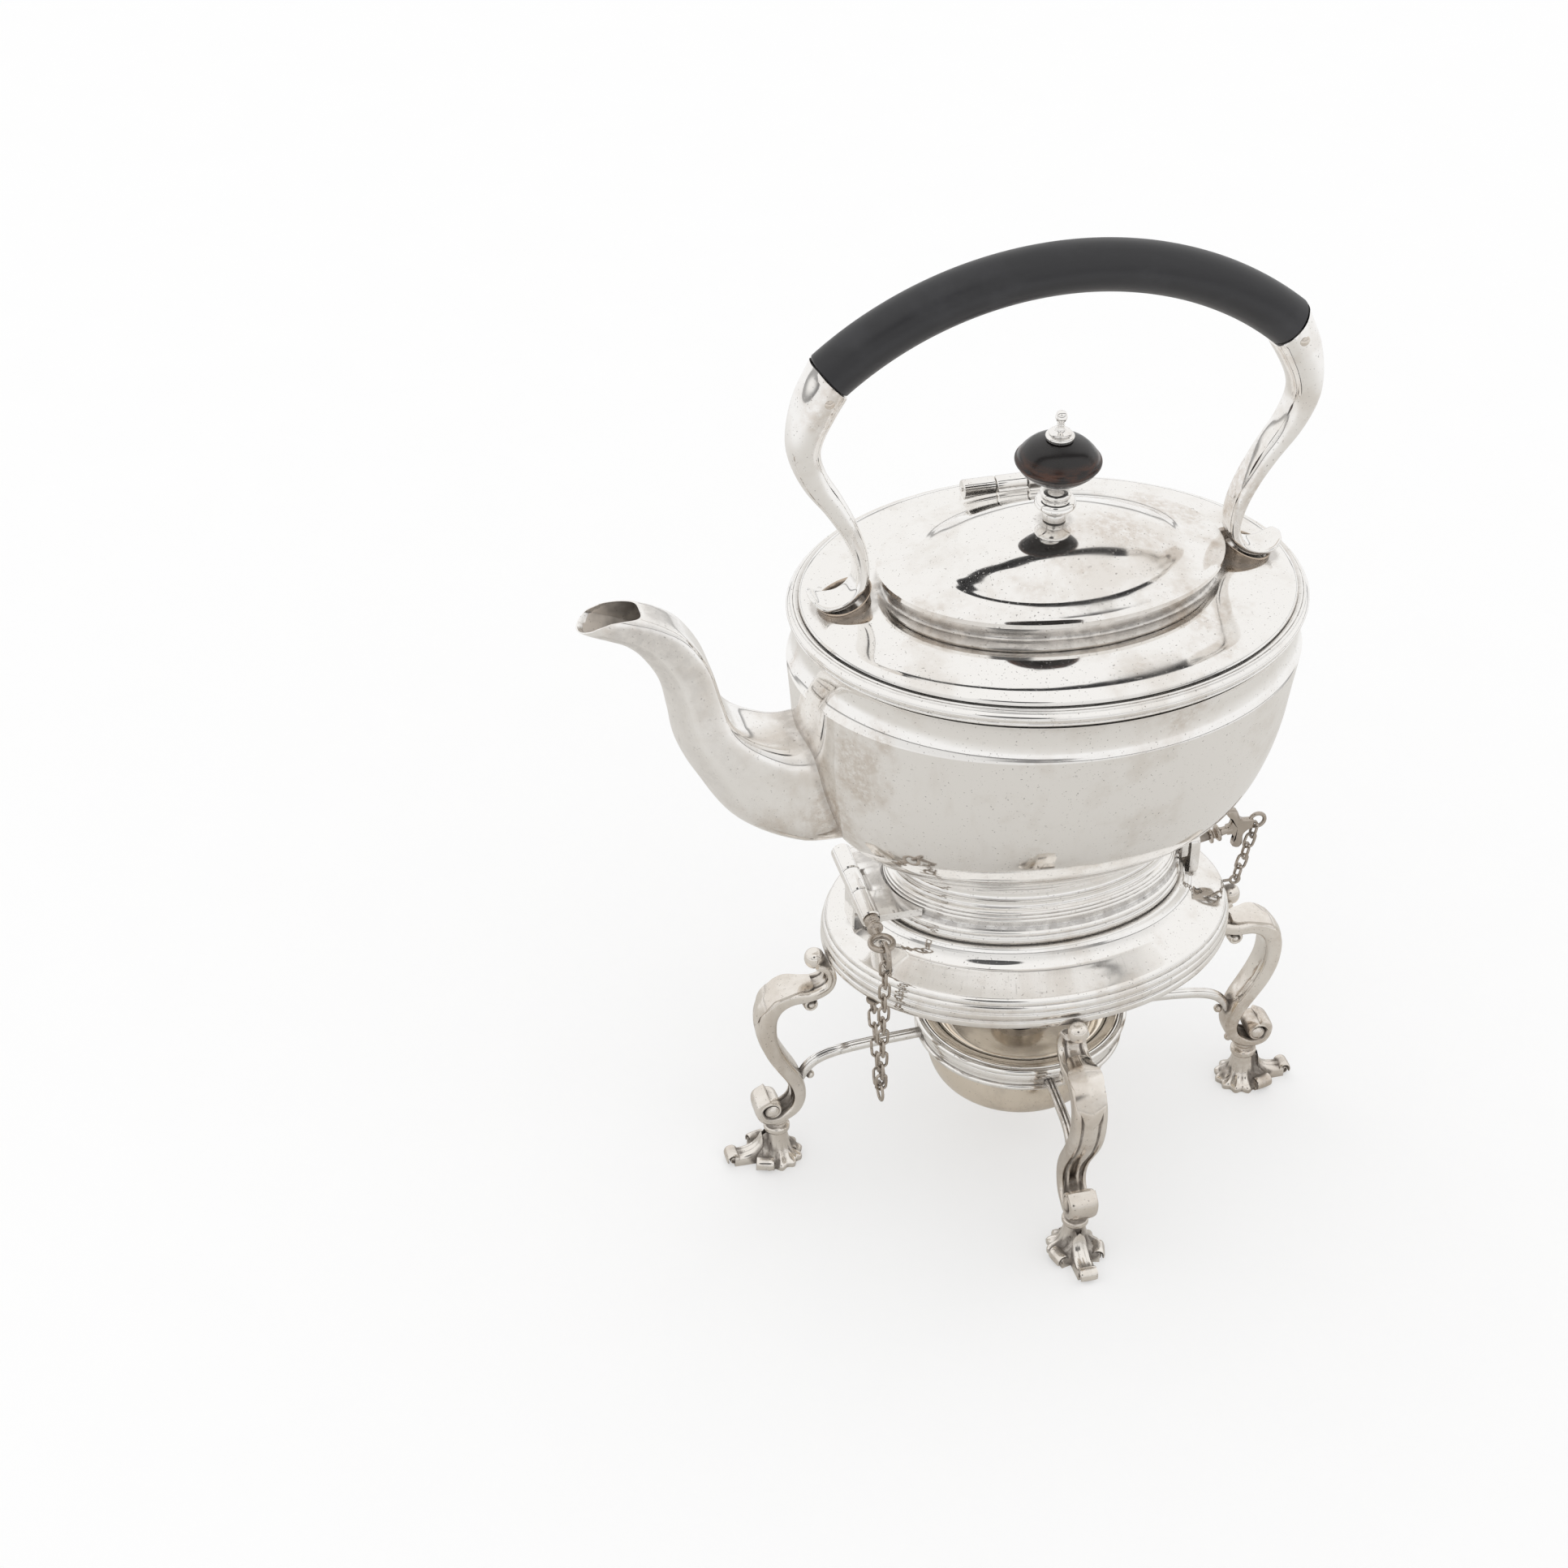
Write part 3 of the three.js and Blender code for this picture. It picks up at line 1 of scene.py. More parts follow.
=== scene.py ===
# %% [markdown]
# # A silver spirit kettle on its stand
# The kettle is an oval bowl with an S-shaped spout and a fixed handle. It tilts on a pinned hinge
# over four scroll legs and a spirit burner. The packed solids give every place and size. Here each
# of them is replaced by a smooth surface, because polished metal shows every flat facet.

# %% The frame and the tools
import math

import bmesh
import bpy
import numpy as np
from mathutils import Matrix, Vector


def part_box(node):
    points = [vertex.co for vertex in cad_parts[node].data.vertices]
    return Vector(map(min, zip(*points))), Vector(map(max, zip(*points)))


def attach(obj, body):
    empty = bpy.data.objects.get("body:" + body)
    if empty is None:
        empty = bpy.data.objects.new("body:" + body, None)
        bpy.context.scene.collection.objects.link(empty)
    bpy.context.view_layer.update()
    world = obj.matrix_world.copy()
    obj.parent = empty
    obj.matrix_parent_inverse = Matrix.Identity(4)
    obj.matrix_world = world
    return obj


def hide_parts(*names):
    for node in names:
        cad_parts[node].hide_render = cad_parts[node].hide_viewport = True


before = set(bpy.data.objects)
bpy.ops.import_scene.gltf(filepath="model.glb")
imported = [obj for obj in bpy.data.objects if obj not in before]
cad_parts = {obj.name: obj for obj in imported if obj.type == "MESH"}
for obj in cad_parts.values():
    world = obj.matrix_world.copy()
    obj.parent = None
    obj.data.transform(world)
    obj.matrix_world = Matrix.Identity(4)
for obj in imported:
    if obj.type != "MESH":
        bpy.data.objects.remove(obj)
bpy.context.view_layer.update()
low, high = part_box("burner_bowl")
AXIS_X = (low.x + high.x) / 2

# %% [markdown]
# ## Camera
# A long lens looks down at the kettle from the front left. Its place, tilt and lens were worked out
# from the ovals of the rim, collar and burner ring in the photograph. Millimetres are counted from
# the upright axis through the burner, as the pieces below are.

# %% Camera
CAMERA_PLACE = (-334.8, -904.4, 860.0)
CAMERA_AZIMUTH, CAMERA_ELEVATION, CAMERA_ROLL = (math.radians(v) for v in (-15.51, 36.83, 1.26))
CAMERA_LENS, SENSOR_WIDTH, CLIP_END = 85.51, 36, 50


def in_frame(points):
    """Millimetres from the upright axis, turned into the frame's metres."""
    return np.asarray(points, float) / 1000 + (AXIS_X, 0, 0)


def camera_axes(azimuth, elevation, roll):
    """Right, up and back directions: back points from the object to the lens, then roll turns the
    other two about it."""
    back = np.array([math.sin(azimuth) * math.cos(elevation), -math.cos(azimuth) * math.cos(elevation),
                     math.sin(elevation)])
    right = np.cross((0, 0, 1), back)
    right /= np.linalg.norm(right)
    up = np.cross(back, right)
    return (math.cos(roll) * right + math.sin(roll) * up,
            math.cos(roll) * up - math.sin(roll) * right, back)


lens = bpy.data.cameras.new("camera")
lens.lens, lens.sensor_width, lens.clip_end = CAMERA_LENS, SENSOR_WIDTH, CLIP_END
camera = bpy.data.objects.new("camera", lens)
bpy.context.scene.collection.objects.link(camera)
turn = Matrix.Identity(4)
for column, axis in enumerate(camera_axes(CAMERA_AZIMUTH, CAMERA_ELEVATION, CAMERA_ROLL)):
    turn.col[column][:3] = axis
camera.matrix_world = Matrix.Translation(in_frame(CAMERA_PLACE)) @ turn
bpy.context.scene.camera = camera
print("lens", CAMERA_LENS, "mm")

# %% [markdown]
# ## Shader sums
# A finish is a sum of patterns. Written as ordinary Python sums, it reads like the recipe it is, so
# one small class wraps a socket and turns + - * / into Math nodes.


# %% Sockets as numbers
class Wire:
    """A node's output. Sums and products of wires and numbers add Math nodes to its tree."""

    def __init__(self, tree, socket=None):
        self.tree, self.socket = tree, socket

    def make(self, kind, settings=(), inputs=(), out=0):
        """A node of any kind: its settings are set first, then the values or links of its sockets."""
        node = self.tree.nodes.new(kind)
        for key, value in dict(settings).items():
            setattr(node, key, value)
        for key, value in dict(inputs).items():
            fill(node.inputs[key], value)
        return Wire(self.tree, node.outputs[out])

    def maths(self, operation, *values):
        """A Math node over wires and numbers."""
        return self.make("ShaderNodeMath", {"operation": operation}, dict(enumerate(values)))

    def __add__(self, other):
        return self.maths("ADD", self, other)

    def __sub__(self, other):
        return self.maths("SUBTRACT", self, other)

    def __rsub__(self, other):
        return self.maths("SUBTRACT", other, self)

    def __mul__(self, other):
        return self.maths("MULTIPLY", self, other)

    __radd__ = __add__
    __rmul__ = __mul__

    def capped(self, limit=1.0):
        """The smaller of this wire and a limit."""
        return self.maths("MINIMUM", self, limit)

    def between(self, start, end):
        """A smooth step from 0 at start to 1 at end. An end below the start makes it fall."""
        return self.make("ShaderNodeMapRange", {"interpolation_type": "SMOOTHSTEP"},
                         {0: self, 1: start, 2: end})

    def place(self, system="Object"):
        """The place on the surface: 'Object' in the piece's own coordinates."""
        return self.make("ShaderNodeTexCoord", out=system)

    def part(self, axis):
        """One coordinate of a vector: 'X', 'Y' or 'Z'."""
        return self.make("ShaderNodeSeparateXYZ", (), {0: self}, out=axis)

    def ray(self, kind):
        """One for rays of a kind, such as 'Glossy', and nought for all others."""
        return self.make("ShaderNodeLightPath", out=f"Is {kind} Ray")

    def noise(self, scale, detail, rough=0.55, stretch=(1, 1, 1)):
        """Cloudy noise on the piece's own coordinates, drawn out along an axis by a small stretch."""
        drawn = self.make("ShaderNodeMapping", (), {"Vector": self.place(), "Scale": stretch})
        return self.make("ShaderNodeTexNoise", (), {"Vector": drawn, "Scale": scale, "Detail": detail,
                                                   "Roughness": rough})

    def blend(self, first, second):
        """A colour that goes from first to second as this wire goes from 0 to 1."""
        return self.make("ShaderNodeMix", {"data_type": "RGBA"}, {0: self, 6: first, 7: second}, out=2)

    def bump(self, strength, distance, under=None):
        """A normal that takes this wire as a height, at most distance metres, over another normal."""
        inputs = {"Strength": strength, "Distance": distance, "Height": self}
        if under is not None:
            inputs["Normal"] = under
        return self.make("ShaderNodeBump", (), inputs)


def fill(socket, value):
    """Links a wire to a socket, or sets a number or a colour on it."""
    if isinstance(value, Wire):
        value.tree.links.new(value.socket, socket)
    else:
        socket.default_value = value


def finish_of(name):
    """A new material with an empty tree, its principled shader and a wire to start sums from."""
    material = bpy.data.materials.new(name)
    material.use_nodes = True
    shader = material.node_tree.nodes["Principled BSDF"]
    return material, shader, Wire(material.node_tree)


def plug(shader, **sockets):
    """Fills the shader's sockets. A name's underscore stands for the space in the socket's name."""
    for name, value in sockets.items():
        fill(shader.inputs[name.replace("_", " ")], value)


print("a wire can:", ", ".join(name for name in vars(Wire) if name[0] != "_"))


# %% [markdown]
# ## Silver
# Old polished silver is nearly white, with a warm bloom of tarnish where a cloth doesn't reach,
# tiny pits, and a surface that was beaten out by hand and so is never quite true. The tarnish could
# be painted by hand, but it gathers in hollows, and the hollows are darkened further with painted
# shade that stands in for the shade falling there. The geometry's pointiness finds the small ones,
# and a measure of how crowded each point is, made near the end, finds the large ones.

# %% Silver
SILVER_BRIGHT = (0.90, 0.885, 0.865, 1)
SILVER_BLOOM = (0.66, 0.60, 0.535, 1)
SILVER_STAIN = (0.50, 0.405, 0.32, 1)
SILVER_DARK = (0.085, 0.066, 0.052, 1)
# A noise is given by its scale per metre, detail, roughness and stretch.
CLOUD, STREAK, BROAD = (24, 5, 0.66), (90, 4, 0.6, (1, 1, 0.25)), (15, 5, 0.66, (1, 1, 0.7))
PITS, SPOTS, GRAIN, BROKEN = (1500, 1, 0.4), (330, 3, 0.7), (300, 3), (500, 3, 0.7)
BEATEN, HANDLED = (55, 2, 0.4), (60, 3)
STREAK_SHARE, TUCKED_SHARE, STAIN_SHARE = 0.35, 0.5, 0.5
# The recess weights darken hollows: partly tarnish, partly painted shade standing in for the shade there.
RECESS_SHADE_AND_TARNISH, PIT_DIRT, SPOT_DIRT, SHADE_AND_TARNISH_OVER_METAL = 0.8, 0.5, 0.25, 0.6
DULL_ROUGH, RECESS_ROUGH, HANDLED_ROUGH = 0.15, 0.3, 0.03
PIT_STRENGTH, PIT_DEPTH = 0.25, 0.00004


def silver(name, bloom, hollows, waver, shine=0.045, bright=SILVER_BRIGHT, tuck=1.0, metal=1.0):
    """Bloom is how much of the surface is dulled, hollows how dark the recesses are painted, as tarnish
    and painted shade, waver the height of the beaten unevenness, in metres, and shine the roughness
    where the metal is clean. The crowding that is measured at the end says how hemmed in each point
    is, and tuck how much of the tarnish and painted shade follows it. The tarnish and painted shade
    in a recess are dull, so there the metal gives way to them."""
    material, shader, start = finish_of(name)
    crowded = start.make("ShaderNodeAttribute", {"attribute_name": "crowding"}, out="Fac")
    cloud = start.noise(*CLOUD).between(0.64 - bloom * 0.3, 0.78 - bloom * 0.25)
    streak = start.noise(*STREAK).between(0.56, 0.72) * STREAK_SHARE
    pits = start.noise(*PITS).between(0.70, 0.76)
    spots = start.noise(*SPOTS).between(0.66, 0.74)
    # Concave points (inward) and crowded points (tucked) make the recess mask: tarnish in the hollows, plus
    # painted shade.
    inward = start.make("ShaderNodeNewGeometry", out="Pointiness").between(0.494, 0.46)
    grain = start.noise(*GRAIN).between(0.28, 0.62)
    tucked = crowded.between(1.7, 3.0)
    recess = ((inward + tucked * tuck) * (0.35 + grain * 0.65) * hollows).capped()
    patch = start.noise(*BROAD).between(0.54, 0.66) * start.noise(*BROKEN).between(0.26, 0.62)
    # The tucked share dulls crowded points towards the bloom: tarnish and painted shade together.
    dulled = ((cloud + streak) * bloom + tucked * tuck * TUCKED_SHARE).capped()
    # The dark mix: pits and spots are dirt, while its recess part is tarnish and painted shade.
    dirt_and_shade = (recess * RECESS_SHADE_AND_TARNISH + pits * PIT_DIRT + spots * SPOT_DIRT).capped()
    clean = (patch * STAIN_SHARE).blend(dulled.blend(bright, SILVER_BLOOM), SILVER_STAIN)
    rough = shine + dulled * DULL_ROUGH + recess * RECESS_ROUGH + start.noise(*HANDLED) * HANDLED_ROUGH
    beaten = start.noise(*BEATEN).bump(1.0, waver)
    # Where the recess is strong the colour goes to SILVER_DARK and the metallic drops: tarnish and painted
    # shade.
    plug(shader, Base_Color=dirt_and_shade.blend(clean, SILVER_DARK), Roughness=rough,
         Metallic=metal - recess * metal * SHADE_AND_TARNISH_OVER_METAL,
         Normal=(0.0 - pits).bump(PIT_STRENGTH, PIT_DEPTH, beaten))
    return material


silver_body = silver("polished silver", 0.42, 0.7, 0.00012, tuck=0.45)
silver_stand = silver("stand silver", 0.5, 0.8, 0.0001, tuck=0.6)
silver_cast = silver("cast silver", 0.75, 1.0, 0.00006, 0.07, (0.84, 0.80, 0.75, 1))
silver_dish = silver("silver of the dishes", 0.25, 1.0, 0.00008, 0.09, (0.50, 0.41, 0.33, 1), 0.6)
silver_link = silver("chain silver", 0.25, 1.0, 0.00002, 0.12, (0.44, 0.39, 0.34, 1), 0.6)
silver_inside = silver("silver of the burner", 0.7, 1.0, 0.0001, 0.09, (0.90, 0.82, 0.71, 1), 0.4)
# Dark and dull: painted shade for the dim inside of the spout.
silver_throat = silver("silver of the throat", 1.0, 0.5, 0.00006, 0.45, (0.20, 0.18, 0.16, 1), 0.2, 0.25)
print("silver finishes, from", silver_body.name, "to", silver_throat.name)

# %% [markdown]
# ## Ebonised wood and cotton
# The grip is stained black and rubbed to a satin, so it is dark grey where it catches light, with a
# faint grain along its length. The knob is the same wood, worn brown around its edge. The wick is
# plaited cotton.

# %% Ebony, the knob's wood and cotton
EBONY_DARK, EBONY_GREY = (0.013, 0.013, 0.015, 1), (0.034, 0.034, 0.038, 1)
KNOB_BLACK, KNOB_BROWN = (0.011, 0.009, 0.009, 1), (0.075, 0.026, 0.012, 1)
COTTON_PALE, COTTON_SCORCHED = (0.62, 0.57, 0.47, 1), (0.24, 0.18, 0.12, 1)
KNOB_EDGE_HEIGHT = 0.2657

ebony, shader, start = finish_of("ebonised grip")
grain = start.noise(900, 4, 0.6, (0.06, 1, 0.4))
worn = start.noise(45, 4, 0.6).between(0.45, 0.75)
plug(shader, Base_Color=(worn * 0.7 + grain * 0.3).blend(EBONY_DARK, EBONY_GREY),
     Roughness=0.33 + worn * 0.14 + grain * 0.06, Normal=grain.bump(0.12, 0.0002))

knob_wood, shader, start = finish_of("knob wood")
from_edge = start.maths("ABSOLUTE", start.place().part("Z") - KNOB_EDGE_HEIGHT)
grain = start.noise(260, 4, 0.6, (0.5, 0.5, 2.5))
brown = from_edge.between(0.0035, 0.0008) * grain.between(0.35, 0.6) * 0.85
plug(shader, Base_Color=brown.blend(KNOB_BLACK, KNOB_BROWN), Roughness=0.2 + grain * 0.12,
     Normal=grain.bump(0.1, 0.0002))

cotton, shader, start = finish_of("cotton wick")
strands = start.noise(2600, 2, 0.5, (1, 1, 0.35))
scorch = start.noise(240, 3).between(0.45, 0.7)
plug(shader, Base_Color=scorch.blend(COTTON_PALE, COTTON_SCORCHED), Roughness=0.95,
     Normal=strands.bump(0.8, 0.0005))
print("also made:", ebony.name, knob_wood.name, cotton.name, sep=", ")

# %% [markdown]
# ## From numbers to a surface
# Every piece below is a sheet of points: rows one way, columns the other. A lathe or a sweep in
# Blender's own tools would do, but a grid of numbers shows exactly how a shape depends on its sizes.


# %% Grids, splines and pieces
def spline(points, per_span):
    """Catmull-Rom curve through the points: on each span a cubic, with a slope at each point equal to
    half the step between the points on either side of it."""
    points = np.asarray(points, float)
    padded = np.vstack([2 * points[0] - points[1], points, 2 * points[-1] - points[-2]])
    before, here, after, beyond = (padded[k:len(points) - 1 + k, None] for k in range(4))
    t = np.linspace(0, 1, per_span, endpoint=False)[None, :, None]
    curve = (2 * here + (after - before) * t + (2 * before - 5 * here + 4 * after - beyond) * t ** 2
             + (3 * here - before - 3 * after + beyond) * t ** 3) / 2
    return np.vstack([curve.reshape(-1, points.shape[1]), points[-1:]])


def runs(*parts):
    """Several curves end to end, keeping the corner where two of them meet."""
    joined = [np.asarray(parts[0], float)]
    for part in parts[1:]:
        part = np.asarray(part, float)
        joined.append(part[1:] if np.allclose(part[0], joined[-1][-1]) else part)
    return np.vstack(joined)


def grid(points, along_closed=False, caps=False):
    """Quads between neighbouring rows and columns, closed round the columns. With along_closed the last
    row meets the first. With caps, a fan to its middle closes each end row."""
    points = np.asarray(points, float)
    rows, columns = points.shape[:2]
    index = np.arange(rows * columns).reshape(rows, columns)
    index = np.hstack([index, index[:, :1]])
    if along_closed:
        index = np.vstack([index, index[:1]])
    quads = np.stack([index[:-1, :-1], index[:-1, 1:], index[1:, 1:], index[1:, :-1]], -1).reshape(-1, 4)
    places, faces = [points.reshape(-1, 3)], quads.tolist()
    for row, order in ((0, -1), (-1, 1)) if caps else ():
        middle = sum(len(block) for block in places)
        places.append(points[row].mean(0)[None])
        edge = index[row][::order]
        faces += np.stack([edge[:-1], edge[1:], np.full(columns, middle)], -1).tolist()
    return np.vstack(places), faces


def moved(block, shift=(0, 0, 0), turn=None):
    """A block of points and faces, turned by a 3 by 3 matrix and then shifted."""
    points, faces = block
    return (points @ np.asarray(turn).T if turn is not None else points) + np.asarray(shift), faces


def about(axis, angle):
    """Rotation matrix about an axis, 'X', 'Y' or 'Z'."""
    return np.array(Matrix.Rotation(angle, 3, axis))


MERGE, SLIVER = 1e-6, 1e-7
made = []


def piece(name, blocks, body, finish, slot, stands_for=(), crease=38):
    """Joins blocks into one mesh in the frame's metres, with its faces outwards, and seats it on its
    body. Edges that fold by more than the crease angle stay sharp."""
    faces, count = [], 0
    for points, block_faces in blocks:
        faces += [[corner + count for corner in face] for face in block_faces]
        count += len(points)
    mesh = bpy.data.meshes.new(name)
    mesh.from_pydata(in_frame(np.vstack([points for points, _ in blocks])), [], faces)
    work = bmesh.new()
    work.from_mesh(mesh)
    bmesh.ops.remove_doubles(work, verts=work.verts, dist=MERGE)
    bmesh.ops.dissolve_degenerate(work, edges=work.edges, dist=SLIVER)
    bmesh.ops.recalc_face_normals(work, faces=work.faces)
    work.to_mesh(mesh)
    work.free()
    mesh.shade_smooth()
    mesh.set_sharp_from_angle(angle=math.radians(crease))
    mesh.materials.append(finish)
    thing = bpy.data.objects.new(name, mesh)
    bpy.context.scene.collection.objects.link(thing)
    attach(thing, body)
    if stands_for:
        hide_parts(*stands_for)
    made.append((name, len(mesh.polygons)))
    return thing


def oval(rows, steps):
    """A revolved outline with an oval section: a row [a, b, z] becomes (a cos t, b sin t, z)."""
    rows = np.asarray(rows, float)
    t = np.linspace(0, 2 * np.pi, steps, endpoint=False)
    flat = np.broadcast_to(rows[:, None, 2], (len(rows), steps))
    return np.stack([rows[:, :1] * np.cos(t), rows[:, 1:2] * np.sin(t), flat], -1)


def lathe(rows, steps):
    """A round turned outline: a row [r, z] becomes (r cos t, r sin t, z)."""
    rows = np.asarray(rows, float)
    return oval(np.c_[rows[:, 0], rows[:, 0], rows[:, 1]], steps)


def turned(rows, steps=64):
    """A solid turned piece, closed at both ends."""
    return grid(lathe(rows, steps), caps=True)


def lying(block, x=0.0, z=0.0):
    """A turned block laid along Y, by exchanging its y and z, with its axis at x, z."""
    points, faces = block
    return points[:, [0, 2, 1]] + (x, 0, z), faces


def sized(shares, sizes, bottom):
    """An outline from shares of its sizes. The last one is a height, counted up from the bottom."""
    rows = np.asarray(shares) * sizes
    rows[:, -1] += bottom
    return rows


def inset(size, steps, level):
    """Rows [a, b, z] of an oval outline of a size (a, b), from steps [inset, z]. The inset is taken
    off both a and b, and z is counted from the level."""
    steps = np.asarray(steps, float)
    return np.c_[size[0] - steps[:, 0], size[1] - steps[:, 0], level + steps[:, 1]]


def reeds(start, end, count, height, per_reed=8):
    """Half-round reeds on a straight run of an outline: the line plus |sin| of its length, outwards."""
    start, end = np.asarray(start, float), np.asarray(end, float)
    u = np.linspace(0, 1, count * per_reed + 1)[:, None]
    run = end - start
    out = np.array([run[-1]] * (len(start) - 1) + [-run[0]]) / math.hypot(run[0], run[-1])
    return start + run * u + out * height * np.abs(np.sin(np.pi * count * u))


def headings(path, least=0.0):
    """The direction of a path at each of its points: the step between its neighbours, over its length.
    The least length, added to all, keeps a path that stands still from a division by nought."""
    run = np.gradient(path, axis=0)
    return run / (np.linalg.norm(run, axis=1, keepdims=True) + least)


def offset_rows(rows, distance):
    """The outline moved inwards by a wall's thickness, along its normal in the plane of a and z."""
    run = headings(rows[:, [0, 2]], 1e-9)
    inner = rows + distance * np.c_[-run[:, 1], -run[:, 1], run[:, 0]]
    inner[:, :2] = np.maximum(inner[:, :2], 0)
    return inner


def bar(path, half_width, half_thick, section):
    """A bar carried along a path in the XZ plane. A point of the section, (across, out), lands at
    path + Y * half_width * across + normal * half_thick * out."""
    ahead = headings(path)
    across, out = section[..., 0], section[..., 1]
    wide, thick = (np.broadcast_to(v, len(path))[:, None] for v in (half_width, half_thick))
    x = path[:, :1] - ahead[:, 1:2] * thick * out
    z = path[:, 1:2] + ahead[:, :1] * thick * out
    return np.stack([x, wide * across + 0 * x, z], -1)


def soft_square(sides, squareness=1.0):
    """A rounded section: cosine and sine raised to the power 1 / squareness, with their signs kept. A
    list of squarenesses gives one section for each row of a bar."""
    t = (np.arange(sides) + 0.5) * 2 * np.pi / sides
    power = 1 / np.asarray(squareness, float)[..., None]
    return np.stack([np.sign(np.cos(t)) * np.abs(np.cos(t)) ** power,
                     np.sign(np.sin(t)) * np.abs(np.sin(t)) ** power], -1)


def ring(radius, wire, length, around, sides):
    """A wire ring in the XY plane. With a length, its sides run straight along Y by that much more."""
    t = np.linspace(0, 2 * np.pi, around, endpoint=False)
    s = np.linspace(0, 2 * np.pi, sides, endpoint=False)
    far = radius + wire * np.cos(s)[None]
    y = far * np.sin(t)[:, None] + np.sign(np.round(np.sin(t), 6))[:, None] * length / 2
    points = np.stack([far * np.cos(t)[:, None], y, np.broadcast_to(wire * np.sin(s), (around, sides))], -1)
    return grid(points, along_closed=True)


def brick(low, high, bevel):
    """A block with chamfered edges, as a square section swept in four rows."""
    low, high = np.asarray(low, float), np.asarray(high, float)
    middle, half = (low + high) / 2, (high - low) / 2
    x, y, z = half
    c = bevel
    corners = np.array([[x - c, y], [x, y - c], [x, c - y], [x - c, -y],
                        [c - x, -y], [-x, c - y], [-x, y - c], [c - x, y]])
    small = corners * (1 - c / np.array([x, y]))
    rows = [(small, -z), (corners, c - z), (corners, z - c), (small, z)]
    return grid(np.stack([np.c_[row, np.full(8, at)] for row, at in rows]) + middle, caps=True)


print("a spline through 4 points has", len(spline(np.eye(4), 8)), "rows")

# %% [markdown]
# ## The kettle's bowl
# The bowl was raised from one sheet of silver: a full oval body, and above its crease a hollow neck
# that springs out again to the rim. A silversmith hammers it round a stake until the outline is
# right, so here the outline is given in a few points, smoothed, and carried round the oval.

# %% Bowl and neck
CREASE, CREASE_HEIGHT, NECK_RISE = (82.3, 63.5), 198.0, 14.6
FOOT_BOTTOM, FOOT_TOP, RIM_BOTTOM, SHEET = 104.8, 124.2, 212.6, 1.4
KETTLE = ("kettle", silver_body, "silver_kettle")
BOWL = [[0, 0, 0], [0.3, 0.24, 0], [0.56, 0.45, 0.002], [0.64, 0.53, 0.035], [0.726, 0.607, 0.096],
        [0.818, 0.706, 0.192], [0.888, 0.79, 0.325], [0.938, 0.863, 0.489], [0.967, 0.916, 0.65],
        [0.983, 0.959, 0.823], [1, 1, 1]]
NECK = [[1, 1, 0], [0.992, 0.995, 0.06], [0.976, 0.986, 0.22], [0.96, 0.985, 0.5], [0.96, 1, 0.78],
        [0.972, 1.018, 0.97]]


def bowl_outline():
    """Body and neck rows [a, b, z], in millimetres, with the sharp crease kept between them."""
    return (sized(spline(BOWL, 7), (*CREASE, CREASE_HEIGHT - FOOT_TOP), FOOT_TOP),
            sized(spline(NECK, 5), (*CREASE, NECK_RISE), CREASE_HEIGHT))


def bowl_shell():
    """Outer rows up, inner rows down one wall inside them: a closed sheet open at the rim."""
    outer = runs(*bowl_outline())
    inner = offset_rows(outer, SHEET)[::-1]
    inner[-1] = (0, 0, FOOT_TOP + SHEET)
    inner[:, 2] = np.minimum(inner[:, 2], outer[-1, 2])
    return grid(oval(np.vstack([outer, inner]), 200))


piece("bowl", [bowl_shell()], *KETTLE, ["kettle_bowl"], crease=24)
print("bowl rows", len(bowl_outline()[0]), "neck rows", len(bowl_outline()[1]))

# %% [markdown]
# ## The kettle's foot
# A band of fine reeds spreads to the stand's collar, and a short waist climbs to the bowl. The reeds
# are drawn wire soldered on, so here they are half-round waves on the outline instead of separate
# rings.

# %% Foot
FOOT, FOOT_RISE, FOOT_WALL = (51.6, 35.1), 18.95, 2.4
FOOT_STEPS = [[0.985, 0.98, 0], [0.98, 0.972, 0.16], [0.968, 0.958, 0.25], [0.952, 0.94, 0.33],
              [0.95, 0.936, 0.4], [0.925, 0.905, 0.6]]
FOOT_WAIST = [[0.925, 0.905, 0.6], [0.9, 0.872, 0.64], [0.893, 0.862, 0.72], [0.9, 0.87, 0.755],
              [0.884, 0.85, 0.78], [0.878, 0.84, 0.88], [0.9, 0.86, 1]]


def foot_shell():
    """From the bottom: a broad bead, a small one, a hollow, three fine reeds and a waist. The inside
    face leads back down to the start."""
    steps = sized(FOOT_STEPS, (*FOOT, FOOT_RISE), FOOT_BOTTOM)
    waist = sized(spline(FOOT_WAIST, 5), (*FOOT, FOOT_RISE), FOOT_BOTTOM)
    outer = runs(reeds(steps[0], steps[1], 1, 0.5, 10), reeds(steps[1], steps[2], 1, 0.5), steps[2:5],
                 reeds(steps[4], steps[5], 3, 0.4), waist)
    inner = offset_rows(outer[[0, 10, -8, -1]], FOOT_WALL)[::-1]
    inner[:, 2] = np.clip(inner[:, 2], outer[0, 2], outer[-1, 2])
    return grid(oval(np.vstack([outer, inner, outer[:1]]), 160))


piece("kettle_foot_reeded", [foot_shell()], *KETTLE, ["kettle_foot"], crease=60)
print("foot rises to", FOOT_BOTTOM + FOOT_RISE, "mm")

# %% [markdown]
# ## Reeded rim, shoulder and the lid's collar
# The widest part is a rim of reeded wire. Inside it the top sheet rises in a low S to an upright
# collar that the lid sits on.

